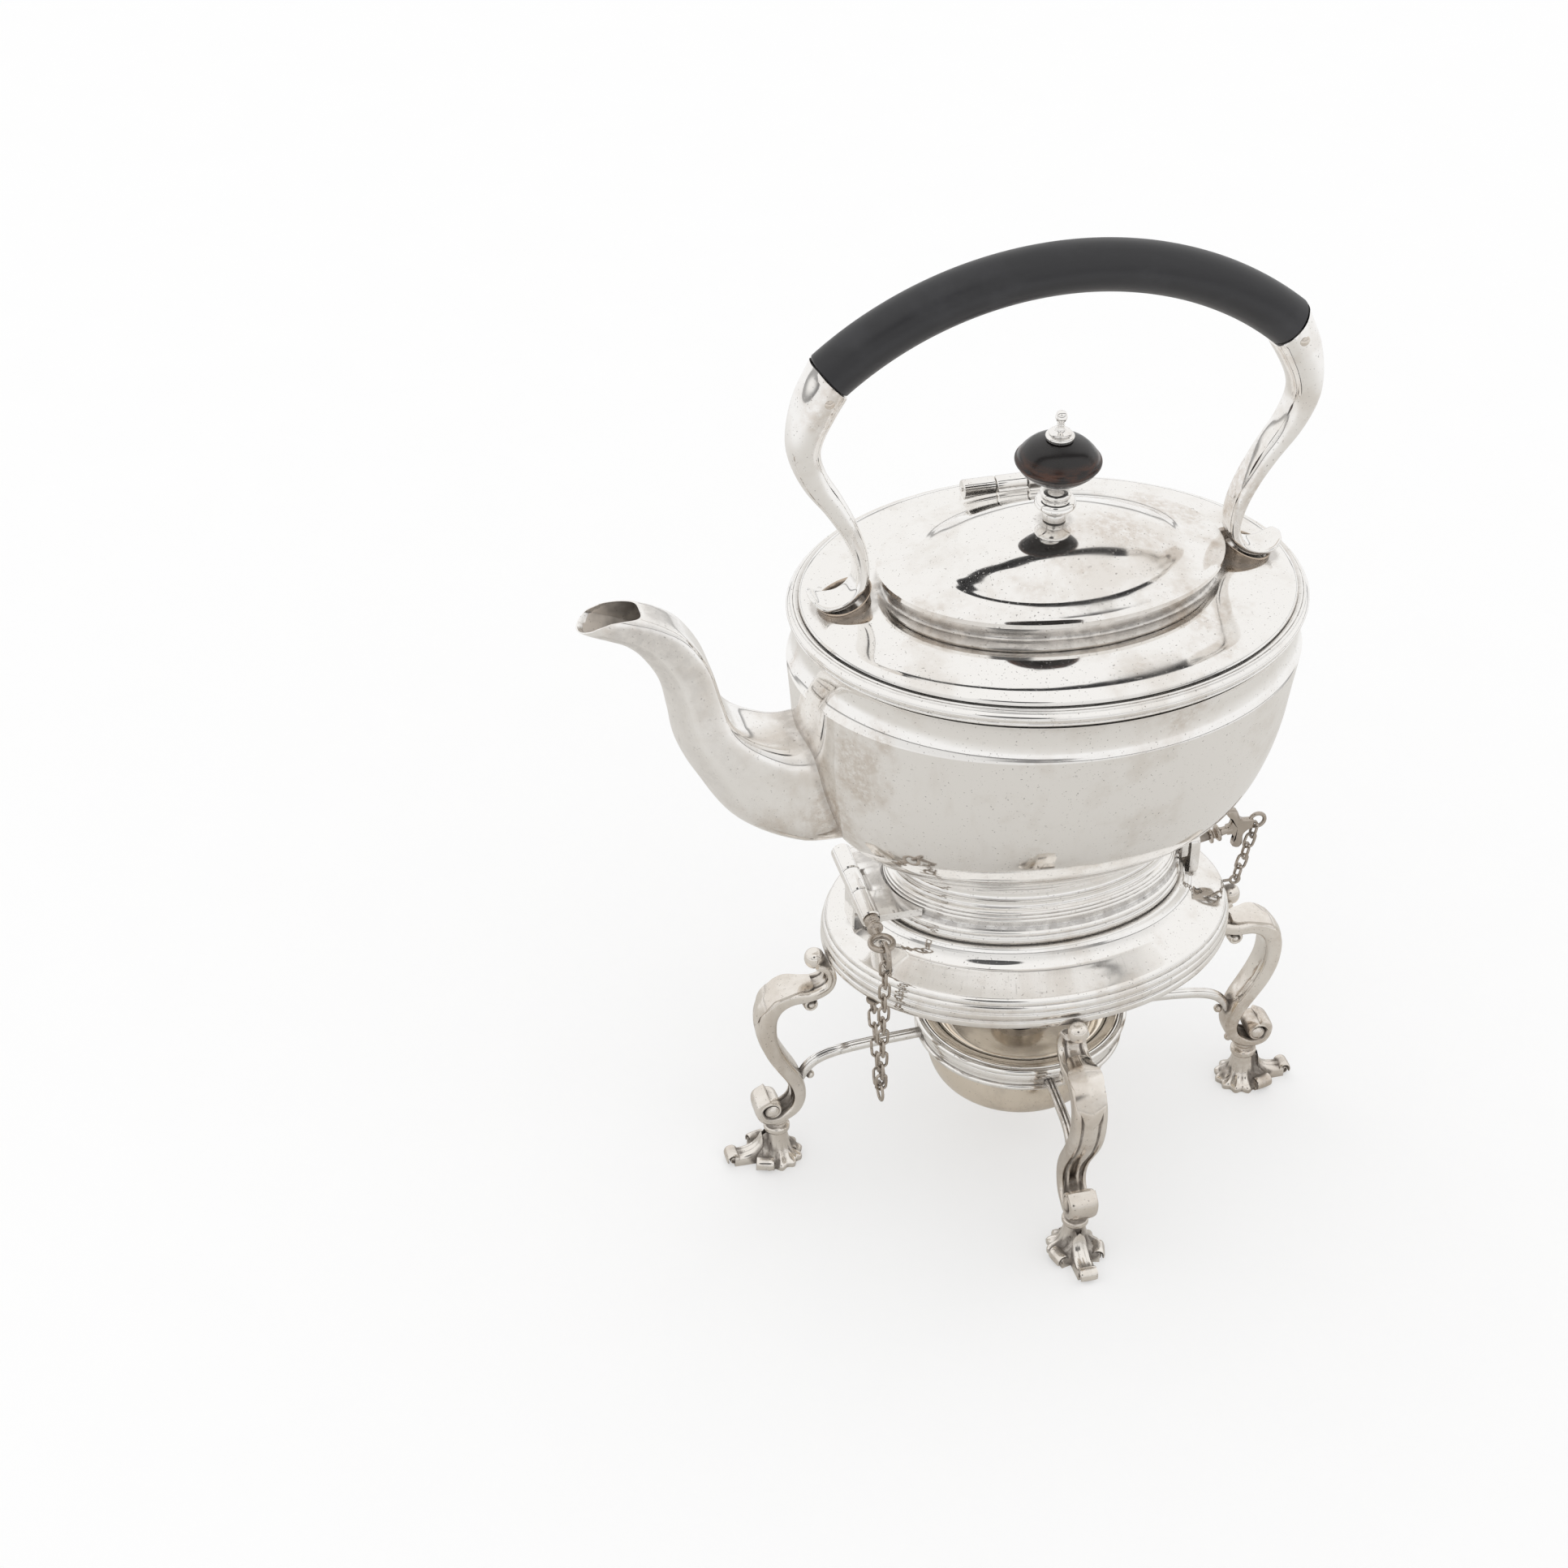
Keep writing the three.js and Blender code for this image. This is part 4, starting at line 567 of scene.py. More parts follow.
# %% Rim, shoulder plate and collar
RIM, RIM_BEAD = (82.4, 66.0), (0.2, 0.2, 1.2)
RIM_TABLE = [[2.884, 0], [0.9, 0.6], [1.1, 5.1], [2.8, 5.85], [3.9, 5.7], [4, 0.6], [2.884, 0]]
COLLAR, COLLAR_TOP = (53.8, 36.4), 229.2
COLLAR_WALL = [[0, 224.1], [0.9, 225], [0.6, 227], [0.4, 228.4], [0.6, COLLAR_TOP]]
SHOULDER_INSET, SHOULDER_LEVEL, SHOULDER_BOTTOM, SHOULDER_RISE = 3.6, 220.5, 218.0, 3.8
SHOULDER = [[0, -0.47], [0.018, -0.2], [0.05, -0.02], [0.1, 0.15], [0.2, 0.34], [0.5, 0.66],
            [0.82, 0.86], [0.95, 0.93]]


def rim_shell():
    """A small bead underneath, a broad one outside, two fine ones on top, and the inner face four
    millimetres in."""
    start, bead_at, ledge, brow, *back = inset(RIM, RIM_TABLE, RIM_BOTTOM)
    under = runs([start, bead_at], reeds(bead_at, bead_at + RIM_BEAD, 1, 0.3))
    outer = runs(under, reeds(under[-1], ledge, 1, 1.05, 14), reeds(ledge, brow, 2, 0.34))
    return grid(oval(runs(outer, back), 200))


def shoulder_shell():
    """From the rim's inner edge the sheet rises in an S to the collar's foot, and the collar stands up
    with a small bead on its top edge."""
    start = inset(RIM, [[SHOULDER_INSET, 0]], SHOULDER_LEVEL)
    finish = inset(COLLAR, [[0, 0]], SHOULDER_LEVEL)
    shape = spline(SHOULDER, 6)
    slope = start + (finish - start) * shape[:, :1]
    slope[:, 2] += SHOULDER_RISE * shape[:, 1]
    outer = runs(slope, inset(COLLAR, spline(COLLAR_WALL, 4), 0))
    inner = offset_rows(outer, SHEET)[::-1]
    inner[:, 2] = np.clip(inner[:, 2], SHOULDER_BOTTOM, COLLAR_TOP)
    return grid(oval(np.vstack([outer, inner, outer[:1]]), 200))


piece("rim_reeds", [rim_shell()], *KETTLE, ["kettle_rim"], crease=70)
piece("shoulder_sheet", [shoulder_shell()], *KETTLE, ["shoulder_plate"])
print("rim and collar, half sizes:", RIM, COLLAR)

# %% [markdown]
# ## Spout
# The spout is seamed from sheet into a four-sided tube that leaves the bowl wide and flat, bends up
# beside it and turns out again to its mouth. A tube along a spline with a rounded square section
# gives the ridges that run along it, and a keel rounds its lower wall. Its inside is lined with a
# dark, dull film: painted shade for the dim throat.

# %% Spout
SPOUT_WALLS = [[-57, 138.5, -59.7, 183.3, 15.6, 1.35], [-79.7, 140.1, -75.9, 180, 15, 1.5],
               [-100.7, 151.1, -84.9, 178.4, 13.8, 2], [-112.9, 168, -95.9, 182.7, 12, 2.6],
               [-119.3, 181.6, -102.7, 189.1, 10.5, 3], [-121.7, 193.5, -105.7, 197.5, 9.3, 3],
               [-124.3, 204.4, -109.7, 210.6, 8.2, 2.9], [-129.6, 213.6, -116.6, 221.7, 7.5, 2.6],
               [-135.2, 219.1, -123.6, 227.4, 7, 2.1], [-142, 222.4, -131.4, 231.4, 6.6, 1.6],
               [-148.1, 225.4, -140.5, 235.5, 6, 1.2], [-155.5, 230.3, -150, 241, 5, 1.1]]
MOUTH = [[-160, 226.2], [-149.6, 226.2], [-148.4, 227], [-144.8, 229.2], [-140, 230.7], [-136, 230.8],
         [-131.8, 230.5], [-120, 230]]
SPOUT_WALL, SPOUT_SIDES, KEEL_SPREAD, KEEL_EDGE, LIP_ROWS = 1.2, 80, 1.06, 0.3, 6
# Over the tube's rows: the keel's share, and the share of a wall's thickness that is drawn in.
KEEL_ROWS, WALL_ROWS = ([8, 24, 72, 88], [0, 1, 1, 0.4]), ([40, 70], [1, 0.35])


def keeled(squareness, keel):
    """The spout's section for each row: a soft square above, and below it upright sides that meet a
    keel, which falls away from the middle by the square of the distance. Keel is its share."""
    section = soft_square(SPOUT_SIDES, squareness)
    t = (np.arange(SPOUT_SIDES) + 0.5) * 2 * np.pi / SPOUT_SIDES
    across = np.clip(KEEL_SPREAD * np.cos(t), -1, 1)
    upright = KEEL_EDGE * np.minimum(np.minimum(t, np.abs(np.pi - t)) / math.acos(1 / KEEL_SPREAD), 1)
    low_half = np.stack([across, upright + (1 - KEEL_EDGE) * (1 - across ** 2)], -1)
    share = (keel[:, None] * (t < np.pi))[..., None]
    return section * (1 - share) + low_half * share


def spout_tube(thinner=0.0):
    """Each row spans from a point of the tube's lower wall to one of its upper wall, and its keeled
    section is laid between them. A thinner tube, for the inside, is drawn in on all sides."""
    rows = spline(SPOUT_WALLS, 8)
    middle, half = (rows[:, 0:2] + rows[:, 2:4]) / 2, (rows[:, 0:2] - rows[:, 2:4]) / 2
    thinner = thinner * np.interp(np.arange(len(rows)), *WALL_ROWS)[:, None]
    half *= 1 - thinner / np.linalg.norm(half, axis=1, keepdims=True)
    keel = np.interp(np.arange(len(rows)), *KEEL_ROWS)
    section = keeled(1 + (rows[:, 5] - 1) * 1.7, keel)
    plane = middle[:, None] + half[:, None] * section[..., 1:]
    return np.stack([plane[..., 0], (rows[:, 4:5] - thinner) * section[..., 0], plane[..., 1]], -1)


def inside_bowl(points, margin):
    """True where a point lies inside the bowl's outer face, less a margin."""
    outline = runs(*bowl_outline())
    half = np.interp(points[..., 2], outline[:, 2], outline[:, 0]) - margin
    across = np.interp(points[..., 2], outline[:, 2], outline[:, 1]) - margin
    return (points[..., 0] / half) ** 2 + (points[..., 1] / across) ** 2 < 1


def mouth_cut(points):
    """Ends each line along the tube where it first rises above the mouth's edge, a curve of height
    over x, and spreads the rows near the end evenly over the last stretch before it."""
    edge = np.array(MOUTH)
    height = points[..., 2] - np.interp(points[..., 0], edge[:, 0], edge[:, 1])
    out = points.copy()
    for column in range(points.shape[1]):
        over = np.flatnonzero(height[:, column] > 0)
        k = over[over > len(points) // 2][0]
        share = height[k - 1, column] / (height[k - 1, column] - height[k, column])
        lip = points[k - 1, column] + share * (points[k, column] - points[k - 1, column])
        line = np.vstack([points[k - LIP_ROWS:k, column], lip])
        new = np.linspace(0, LIP_ROWS, len(points) - k + LIP_ROWS)
        evenly = [np.interp(new, np.arange(LIP_ROWS + 1), line[:, axis]) for axis in range(3)]
        out[k - LIP_ROWS:, column] = np.stack(evenly, 1)
    return out


def spout_shell():
    """Outer tube to the mouth, then the inner tube one wall in, back down into the bowl."""
    outer, inner = mouth_cut(spout_tube()), mouth_cut(spout_tube(SPOUT_WALL))
    keep = max(np.flatnonzero(~inside_bowl(outer, 2.5).all(1))[0] - 1, 0)
    return grid(np.vstack([outer[keep:], inner[keep:][::-1]]), along_closed=True)


def throat_shell():
    """A dark, dull film on the tube's inside, painted shade for the dim throat, from just below the lip down
    into the bowl.
    """
    face, back = mouth_cut(spout_tube(SPOUT_WALL + 0.08)), mouth_cut(spout_tube(SPOUT_WALL + 0.2))
    rows = slice(12, -5)
    return grid(np.vstack([back[rows], face[rows][::-1]]), along_closed=True)


piece("spout_tube", [spout_shell()], *KETTLE, ["spout"], crease=25)
piece("spout_throat", [throat_shell()], "kettle", silver_throat, "silver_kettle", crease=25)
print("spout has", len(SPOUT_WALLS), "measured rows")

# %% [markdown]
# ## Lid
# The lid is stamped: a low bell with a flange that covers the collar and a bezel that drops inside
# it. Its outline is an ogee, flat at the edge and full at the crown.

# %% Lid
LID, LID_BOTTOM, LID_EDGE, LID_RISE = (55.2, 37.8), 229.5, 1.5, 12.9
BEZEL, INNER_INSET = [[0, 0], [3.6, 0], [3.6, -4.6], [4.8, -4.6], [4.9, 0.3]], 5.2
LID_FACE = [[1, 1, 0], [0.96, 0.955, 0.012], [0.92, 0.915, 0.04], [0.8, 0.78, 0.15], [0.74, 0.715, 0.25],
            [0.68, 0.64, 0.38], [0.54, 0.52, 0.62], [0.36, 0.36, 0.84], [0.16, 0.16, 0.97], [0, 0, 1]]


def lid_shell():
    """Crown to edge, round the edge, under the flange and down the bezel, and up the inside."""
    crown = sized(spline(LID_FACE, 6), (*LID, LID_RISE), LID_BOTTOM + LID_EDGE)[::-1]
    crown[:, 2] = np.maximum(crown[:, 2], LID_BOTTOM + LID_EDGE)
    t = np.linspace(0, np.pi, 9)[1:-1]
    edge = inset(LID, np.c_[0 * t, LID_EDGE / 2 * np.cos(t)], LID_BOTTOM + LID_EDGE / 2)
    inner = offset_rows(crown, -SHEET)[::-1]
    inner = inner[inner[:, 0] < LID[0] - INNER_INSET]
    inner[-1] = (0, 0, crown[0, 2] - SHEET)
    return grid(oval(np.vstack([crown, edge, inset(LID, BEZEL, LID_BOTTOM), inner]), 160))


ON_LID = ("lid", silver_body, "silver_kettle")
piece("lid_bell", [lid_shell()], *ON_LID, ["lid"], crease=40)
print("lid top at", LID_BOTTOM + LID_EDGE + LID_RISE, "mm")

# %% [markdown]
# ## Finial and the lid's own hinge
# A turned silver stem carries a flat black wooden knob, and a ball nut holds it down. Behind the lid
# a small three-knuckle hinge joins it to the shoulder.

# %% Stem, knob, nut and lid hinge
STEM_BOTTOM, KNOB_BOTTOM, NUT_BOTTOM = 244.2, 257.7, 272.8
STEM = [[0.56, 0], [0.56, 0.16], [0.5, 0.22], [0.96, 0.36], [1, 0.46], [0.9, 0.55], [0.66, 0.6],
        [0.76, 0.68], [0.74, 0.76], [0.42, 0.84], [0.4, 0.9], [0.62, 1]]
KNOB = [[0.24, 0], [0.62, 0.13], [0.88, 0.32], [0.96, 0.42], [1, 0.47], [1, 0.53], [0.95, 0.57],
        [0.88, 0.68], [0.68, 0.86], [0.4, 0.97], [0.24, 1]]
NUT = [[1, 0], [1, 0.12], [0.76, 0.16], [0.78, 0.24], [0.34, 0.3], [0.26, 0.42], [0.28, 0.52],
       [0.22, 0.56], [0.38, 0.7], [0.42, 0.8], [0.3, 0.95], [0.02, 1]]
STEM_SIZE, KNOB_SIZE, NUT_SIZE = (6.4, STEM_BOTTOM, 13.2), (13.3, KNOB_BOTTOM, 14.8), (4.4, NUT_BOTTOM, 9.4)
LID_AXIS, LID_BARREL, BARREL_SOFT = (0, 42.2, 230.9), 3.0, 0.35
LEAF_HALF, BARREL_START, BARREL_END = 5.03, 5.33, 16
LID_ROD = [[0.55, -16.6], [0.98, -16.3], [0.98, 16.3], [0.55, 16.6]]


def turning(shares, radius, bottom, height):
    """Rows [r, z] of a turned piece, smoothed from shares of its radius and height."""
    return sized(spline(shares, 6), (radius, height), bottom)


def on_lid_axis(rows, steps):
    """A turned outline [r, distance] laid along X, on the axis of the lid's hinge."""
    return moved(lying(turned(rows, steps)), LID_AXIS, about("Z", -math.pi / 2))


def knuckle(start, end):
    """A knuckle of the lid's hinge, with its two ends slightly rounded."""
    small = LID_BARREL - BARREL_SOFT
    rows = [[small, start], [LID_BARREL, start + BARREL_SOFT], [LID_BARREL, end - BARREL_SOFT], [small, end]]
    return on_lid_axis(rows, 36)


piece("finial_stem_turned", [turned(turning(STEM, *STEM_SIZE))], *ON_LID, ["finial_stem"])
piece("finial_knob_turned", [turned(turning(KNOB, *KNOB_SIZE), 96)], "lid", knob_wood, "wood_knob",
      ["finial_knob"])
piece("finial_nut_turned", [turned(turning(NUT, *NUT_SIZE), 48)], *ON_LID, ["finial_nut"])

plate = brick((-15.8, 40.6, 222.6), (15.8, 45, 227.7), 0.5)
leaf_plate = brick((-4.9, 37.9, 229.9), (4.9, 42.4, 231.2), 0.3)
ends = [knuckle(BARREL_START, BARREL_END), knuckle(-BARREL_END, -BARREL_START)]
piece("lid_hinge_barrel", [*ends, plate], *KETTLE, ["lid_hinge_block"])
piece("lid_hinge_leaf", [knuckle(-LEAF_HALF, LEAF_HALF), leaf_plate], *ON_LID, ["lid_leaf"])
piece("lid_hinge_rod", [on_lid_axis(LID_ROD, 20)], *KETTLE, ["lid_hinge_pin"])
print("lid opens about y =", LID_AXIS[1])

# %% [markdown]
# ## Handle
# Two silver arms rise from round saucers on the shoulder and swell into sockets for a grip of
# ebonised wood. Each arm is a flat-sided S that thins towards a curled tail. A rivet through each
# socket holds the grip.

# %% Grip, arms, tails, rivets and saucers
HANDLE_X, GRIP_TOP, GRIP_HALF, GRIP_HALF_CHORD, GRIP_DROP, ARM_DROP = -1.4, 339.1, 7.9, 71.7, 27.3, 80.6
GRIP_CHAMFER, GRIP_CLEAR, CHAMFER_ANGLE = 0.4, 0.3, 0.004
ARC_RADIUS = (GRIP_HALF_CHORD ** 2 + GRIP_DROP ** 2) / (2 * GRIP_DROP)
ARC_CENTRE = GRIP_TOP - GRIP_HALF - ARC_RADIUS
ARC_HALF_ANGLE = math.asin(GRIP_HALF_CHORD / ARC_RADIUS)
GRIP_END = ARC_CENTRE + ARC_RADIUS * math.cos(ARC_HALF_ANGLE)
ARM = [[0.98, -0.02, 0.99, 0.99], [1.053, 0.11, 0.94, 0.88], [1.095, 0.235, 0.84, 0.7],
       [1.094, 0.33, 0.74, 0.6], [1.046, 0.44, 0.67, 0.53], [0.963, 0.555, 0.63, 0.45],
       [0.893, 0.67, 0.61, 0.38], [0.848, 0.78, 0.58, 0.33], [0.836, 0.88, 0.58, 0.27],
       [0.866, 0.945, 0.6, 0.22], [0.92, 0.98, 0.64, 0.17], [0.98, 0.986, 0.68, 0.14],
       [1.025, 0.97, 0.66, 0.12], [1.052, 0.947, 0.5, 0.1], [1.062, 0.934, 0.12, 0.06]]
SEAT_RADIUS, SEAT_OUT, SEAT_SLOPE, SEAT_Z, LIP_RISE = 8.8, 64.4, math.radians(7.5), 222.27, 4.5
SAUCER = [[8.2, -4], [9, -3.2], [9.1, -1.6], [8.3, -0.4], [8.1, 0.6], [8.5, 1.5], [8.8, 1.9], [8.4, 2.2],
          [7.9, 1.9], [7.5, 1], [6.336, -0.3], [4.4, -1.1], [2.2, -1.4], [0.05, -1.4]]


def grip_bar():
    """A round bar on the handle's arc, cut square to the arc at both ends with a small chamfer."""
    angle = np.linspace(-ARC_HALF_ANGLE, ARC_HALF_ANGLE, 61)
    first, last = angle[:1], angle[-1:]
    angle = np.r_[first, first + CHAMFER_ANGLE, angle[1:-1], last - CHAMFER_ANGLE, last]
    radius = np.full(len(angle), GRIP_HALF)
    radius[[0, -1]] -= GRIP_CHAMFER
    path = np.c_[HANDLE_X + ARC_RADIUS * np.sin(angle), ARC_CENTRE + ARC_RADIUS * np.cos(angle)]
    return grid(bar(path, radius, radius, soft_square(48)), caps=True)


def arm_bar(side):
    """The arm's rows give place, half width and half thickness. Towards the tail the section gains
    flat sides. Points behind the grip's end plane are moved onto it, just clear of the grip."""
    rows = spline(ARM, 8)
    path = np.c_[HANDLE_X + side * rows[:, 0] * GRIP_HALF_CHORD, GRIP_END - rows[:, 1] * ARM_DROP]
    wide, thick = rows[:, 2] * GRIP_HALF, rows[:, 3] * GRIP_HALF
    section = soft_square(40, np.interp(rows[:, 1], [0.02, 0.3, 0.9], [1.05, 1.3, 1.7]))
    points = bar(path, wide, thick, section)
    end = np.array([HANDLE_X + side * GRIP_HALF_CHORD, 0, GRIP_END])
    ahead = np.array([side * math.cos(ARC_HALF_ANGLE), 0, -math.sin(ARC_HALF_ANGLE)])
    points += np.maximum(GRIP_CLEAR - (points - end) @ ahead, 0)[..., None] * ahead
    return grid(points, caps=True)


def saucer(side):
    """A deep dish on a flared foot, tilted with the sheet. Its lip climbs towards the lid, by a share
    that is the fourth power of the cosine of half the angle from there."""
    points, faces = turned(spline(SAUCER, 3), 72)
    out = np.hypot(points[:, 0], points[:, 1])
    near = (1 - side * points[:, 0] / np.maximum(out, 1e-6)) / 2
    raised = np.clip((out / SEAT_RADIUS - 0.45) / 0.55, 0, 1) * np.clip(points[:, 2] + 0.4, 0, 2) / 2
    points[:, 2] += LIP_RISE * near ** 2 * raised
    return moved((points, faces), (HANDLE_X + side * SEAT_OUT, 0, SEAT_Z), about("Y", side * SEAT_SLOPE))


for side, word in ((-1, "left"), (1, "right")):
    piece(f"arm_{word}", [arm_bar(side)], *KETTLE, [f"handle_arm_{word}"])
    piece(f"saucer_{word}", [saucer(side)], "kettle", silver_dish, "silver_kettle", [f"handle_seat_{word}"])
piece("grip_of_ebonised_wood", [grip_bar()], "kettle", ebony, "ebony_grip", ["handle_grip"])
print("grip arc radius", round(ARC_RADIUS, 1), "mm")

# %% [markdown]
# ## Stand ring
# The kettle stands in an upright collar on a sloping oval plate, which a band of reeded wire stiffens
# at its edge. The middle is open for the flame.

# %% Stand ring
STAND, STAND_COLLAR, STAND_TOP, PLATE_TOP, PLATE_RISE = (68.8, 52.5), (52.9, 36.4), 104.5, 95.0, 9.5
# The band's edge and step as rows [a, b, z]. The other two are steps [inset, z], see inset above.
BAND = [[68.3, 52, 84.4], [68.2, 51.8, 90.7], [66.4608, 50.295, PLATE_TOP]]
BAND_BACK = [[3.2, -2.3], [3.2, -10.5], [2.8, -10.7]]
COLLAR_LIP = [[0.2, -0.15], [0.7, 0], [1.4, -0.1], [5.2, -0.3], [5.4, -0.7], [5.3, -1.4], [2.8, -1.6]]
PLATE = [[0, 0], [0.3, 0.14], [0.6, 0.3], [0.78, 0.42], [0.9, 0.6], [0.965, 0.8], [1, 0.95]]


def stand_shell():
    """Band of reeds up the outside, plate in to the collar, a rolled lip, and a plain inside face."""
    foot, middle, brow = np.array(BAND)
    band = runs(reeds(foot, middle, 2, 0.5), reeds(middle, brow, 2, 0.4))
    plate, start = spline(PLATE, 7), band[-1, :2]
    slope = np.c_[start + (STAND_COLLAR - start) * plate[:, :1], PLATE_TOP + PLATE_RISE * plate[:, 1]]
    under = slope[::-4][1:] - (1.5, 1.5, 1.7)
    return grid(oval(runs(band, slope, inset(STAND_COLLAR, COLLAR_LIP, STAND_TOP), under,
                          inset(STAND, BAND_BACK, PLATE_TOP), band[:1]), 200))


IN_STAND = ("stand", silver_stand, "silver_stand")
piece("stand_ring_reeded", [stand_shell()], *IN_STAND, ["stand_ring"], crease=60)
print("stand ring, half sizes:", STAND)

# %% [markdown]
# ## Legs
# Each leg is cast: a knob under the band, a scroll that rolls outwards, a panelled S-shaped strap
# that ends in a larger scroll, and a collar over a shell foot with four toes. The same leg stands
# at both ends of each axis of the oval, so one function makes them all and turns them into place.

# %% Legs
LEG_SPAN, STRAP_TOP, LEG_WIDE, LEG_THICK, FOOT_OFFSET = 18.6, 83.6, 11.4, 6.4, 3.6
STRAP = [[-0.83, 0.985, 0.36, 0.2], [-1.02, 0.965, 0.4, 0.26], [-1.09, 0.92, 0.42, 0.3],
         [-1, 0.875, 0.44, 0.32], [-0.72, 0.853, 0.48, 0.36], [-0.36, 0.853, 0.5, 0.44],
         [-0.1, 0.825, 0.5, 0.5], [0.04, 0.77, 0.5, 0.52], [0.065, 0.705, 0.5, 0.52],
         [0.02, 0.635, 0.5, 0.5], [-0.1, 0.565, 0.5, 0.48], [-0.26, 0.5, 0.48, 0.46],
         [-0.43, 0.435, 0.46, 0.44], [-0.54, 0.37, 0.44, 0.4], [-0.55, 0.31, 0.42, 0.36],
         [-0.44, 0.262, 0.42, 0.32], [-0.17, 0.228, 0.42, 0.28], [0.1, 0.24, 0.42, 0.26],
         [0.18, 0.3, 0.42, 0.22], [0, 0.335, 0.42, 0.14]]
TOE_TOP = [[0.12, 0.9], [0.2, 0.62], [0.36, 0.42], [0.6, 0.33], [0.8, 0.34]]
VOLUTE, LOW_EYE, TOE_HALF_SPAN, FOOT_HEIGHT, TOE_ROLL = 3.3, (-0.8, 23.4), 14.3, 12.2, 2.7
TOES = ((0, 1), (1.3, 0.66), (-1.3, 0.66), (math.pi, 0.74))
GROOVE_DEPTH, GROOVE_AT, GROOVE_WIDTH = 0.34, 0.5, 0.12
LEG_KNOB = [[0.02, -3.4], [1.7, -3.1], [2.9, -1.9], [3.3, 0], [2.9, 1.9], [1.7, 3.1], [0.02, 3.4]]
LEG_COLLAR = [[2.2, 11.2], [3.4, 11.6], [4.3, 12.4], [4.45, 13.2], [4.3, 14.2], [3.3, 15], [3.1, 15.8],
              [3.6, 16.4], [3.4, 17.2], [2.2, 18.2]]
SHELL, SHELL_RADIUS, SHELL_RIPPLE = [[1, 0], [1, 0.16], [0.66, 0.36], [0.5, 0.62], [0.4, 1.02]], 8.4, 0.07
LEAF_FIRST, LEAF_STEPS, LEAF_BACK = 30, 34, 1.5


def panelled():
    """The strap's section: a rounded bar whose outer face is parted by two grooves into a broad reed
    between two narrow ones. Each groove is a bell curve taken off the face."""
    section = soft_square(72, 1.9)
    from_groove = (np.abs(section[:, 0]) - GROOVE_AT) / GROOVE_WIDTH
    section[:, 1] -= GROOVE_DEPTH * np.exp(-(from_groove ** 2)) * (section[:, 1] > 0)
    return section


def scroll(centre, start_radius, end_radius, start, finish, half_wide, half_thick):
    """A bar on a spiral whose radius shrinks evenly with its angle."""
    angle, radius = np.linspace(start, finish, 40), np.linspace(start_radius, end_radius, 40)
    path = np.c_[centre[0] + radius * np.cos(angle), centre[1] + radius * np.sin(angle)]
    return grid(bar(path, half_wide, half_thick, soft_square(20, 1.5)), caps=True)


def boss(u, z, radius, reach):
    """A round stud with its axis along Y, showing on both sides of the leg."""
    rows = [[0.02, reach], [radius * 0.55, reach - 0.25], [radius, reach - 1.1]]
    return lying(turned([[r, -y] for r, y in rows] + rows[::-1], 24), u, z)


def ball(u, y, z, radius):
    """A berry: a sphere of latitude rings."""
    angle = np.linspace(-np.pi / 2 + 0.05, np.pi / 2 - 0.05, 9)
    return moved(turned(np.c_[radius * np.cos(angle), radius * np.sin(angle)], 14), (u, y, z))


def toe(turn, length):
    """One toe of the foot: a fluted tongue that slides down and out from the collar and rolls up at
    its end. Its top has a wave of three flutes across its width."""
    span = TOE_HALF_SPAN * length
    top = spline(TOE_TOP, 6) * (span, FOOT_HEIGHT)
    across = np.linspace(-1, 1, 13)
    half = np.interp(np.linspace(0, 1, len(top)), [0, 0.4, 1], [2.4, 3.2, 3.1])
    flute = 0.35 * np.abs(np.cos(1.5 * np.pi * across))
    upper = np.stack([top[:, :1] + 0 * across, half[:, None] * across,
                      top[:, 1:2] * (1 - 0.3 * across ** 2) + flute], -1)
    under = upper[:, ::-1] * (1, 1, 0) + (0, 0, 0.05)
    tongue = grid(np.concatenate([upper, under], 1), caps=True)
    r = TOE_ROLL
    roll = scroll((span - r, r), r * 0.86, r * 0.3, -0.45 * np.pi + 0.9, 2.6 * np.pi, 2.9, 0.36)
    core = boss(span - r, r, r * 0.6, 2.6)
    return [moved(block, turn=about("Z", turn)) for block in (tongue, roll, core)]


def leaf():
    """The leaf on the strap's shoulder: a pointed oval laid over the bend, with three lobes cut into
    its edges and a ridge down the middle. The lobes are the height of a cosine, its sign dropped."""
    u, v = np.linspace(0, 1, 30)[:, None], np.linspace(-1, 1, 17)
    path = spline(STRAP, 8)[:, :2] * (LEG_SPAN, STRAP_TOP)
    along = path[(LEAF_FIRST + LEAF_STEPS * u[:, 0]).astype(int)]
    ahead = headings(along)
    lobes = 0.86 + 0.14 * np.abs(np.cos(3 * np.pi * u))
    half = LEG_WIDE * 0.5 * (np.sin(np.pi * (0.12 + 0.88 * u)) ** 0.6) * lobes * v
    lift = 3.15 + 0.55 * (1 - np.abs(v)) + 0.3 * np.abs(np.sin(3 * np.pi * u)) * (1 - v ** 2)
    front, back = (np.stack([along[:, :1] - ahead[:, 1:] * out, wide, along[:, 1:] + ahead[:, :1] * out], -1)
                   for out, wide in ((lift, half), (LEAF_BACK + 0 * lift, half * 0.96)))
    return grid(np.concatenate([front, back[:, ::-1]], 1), caps=True)


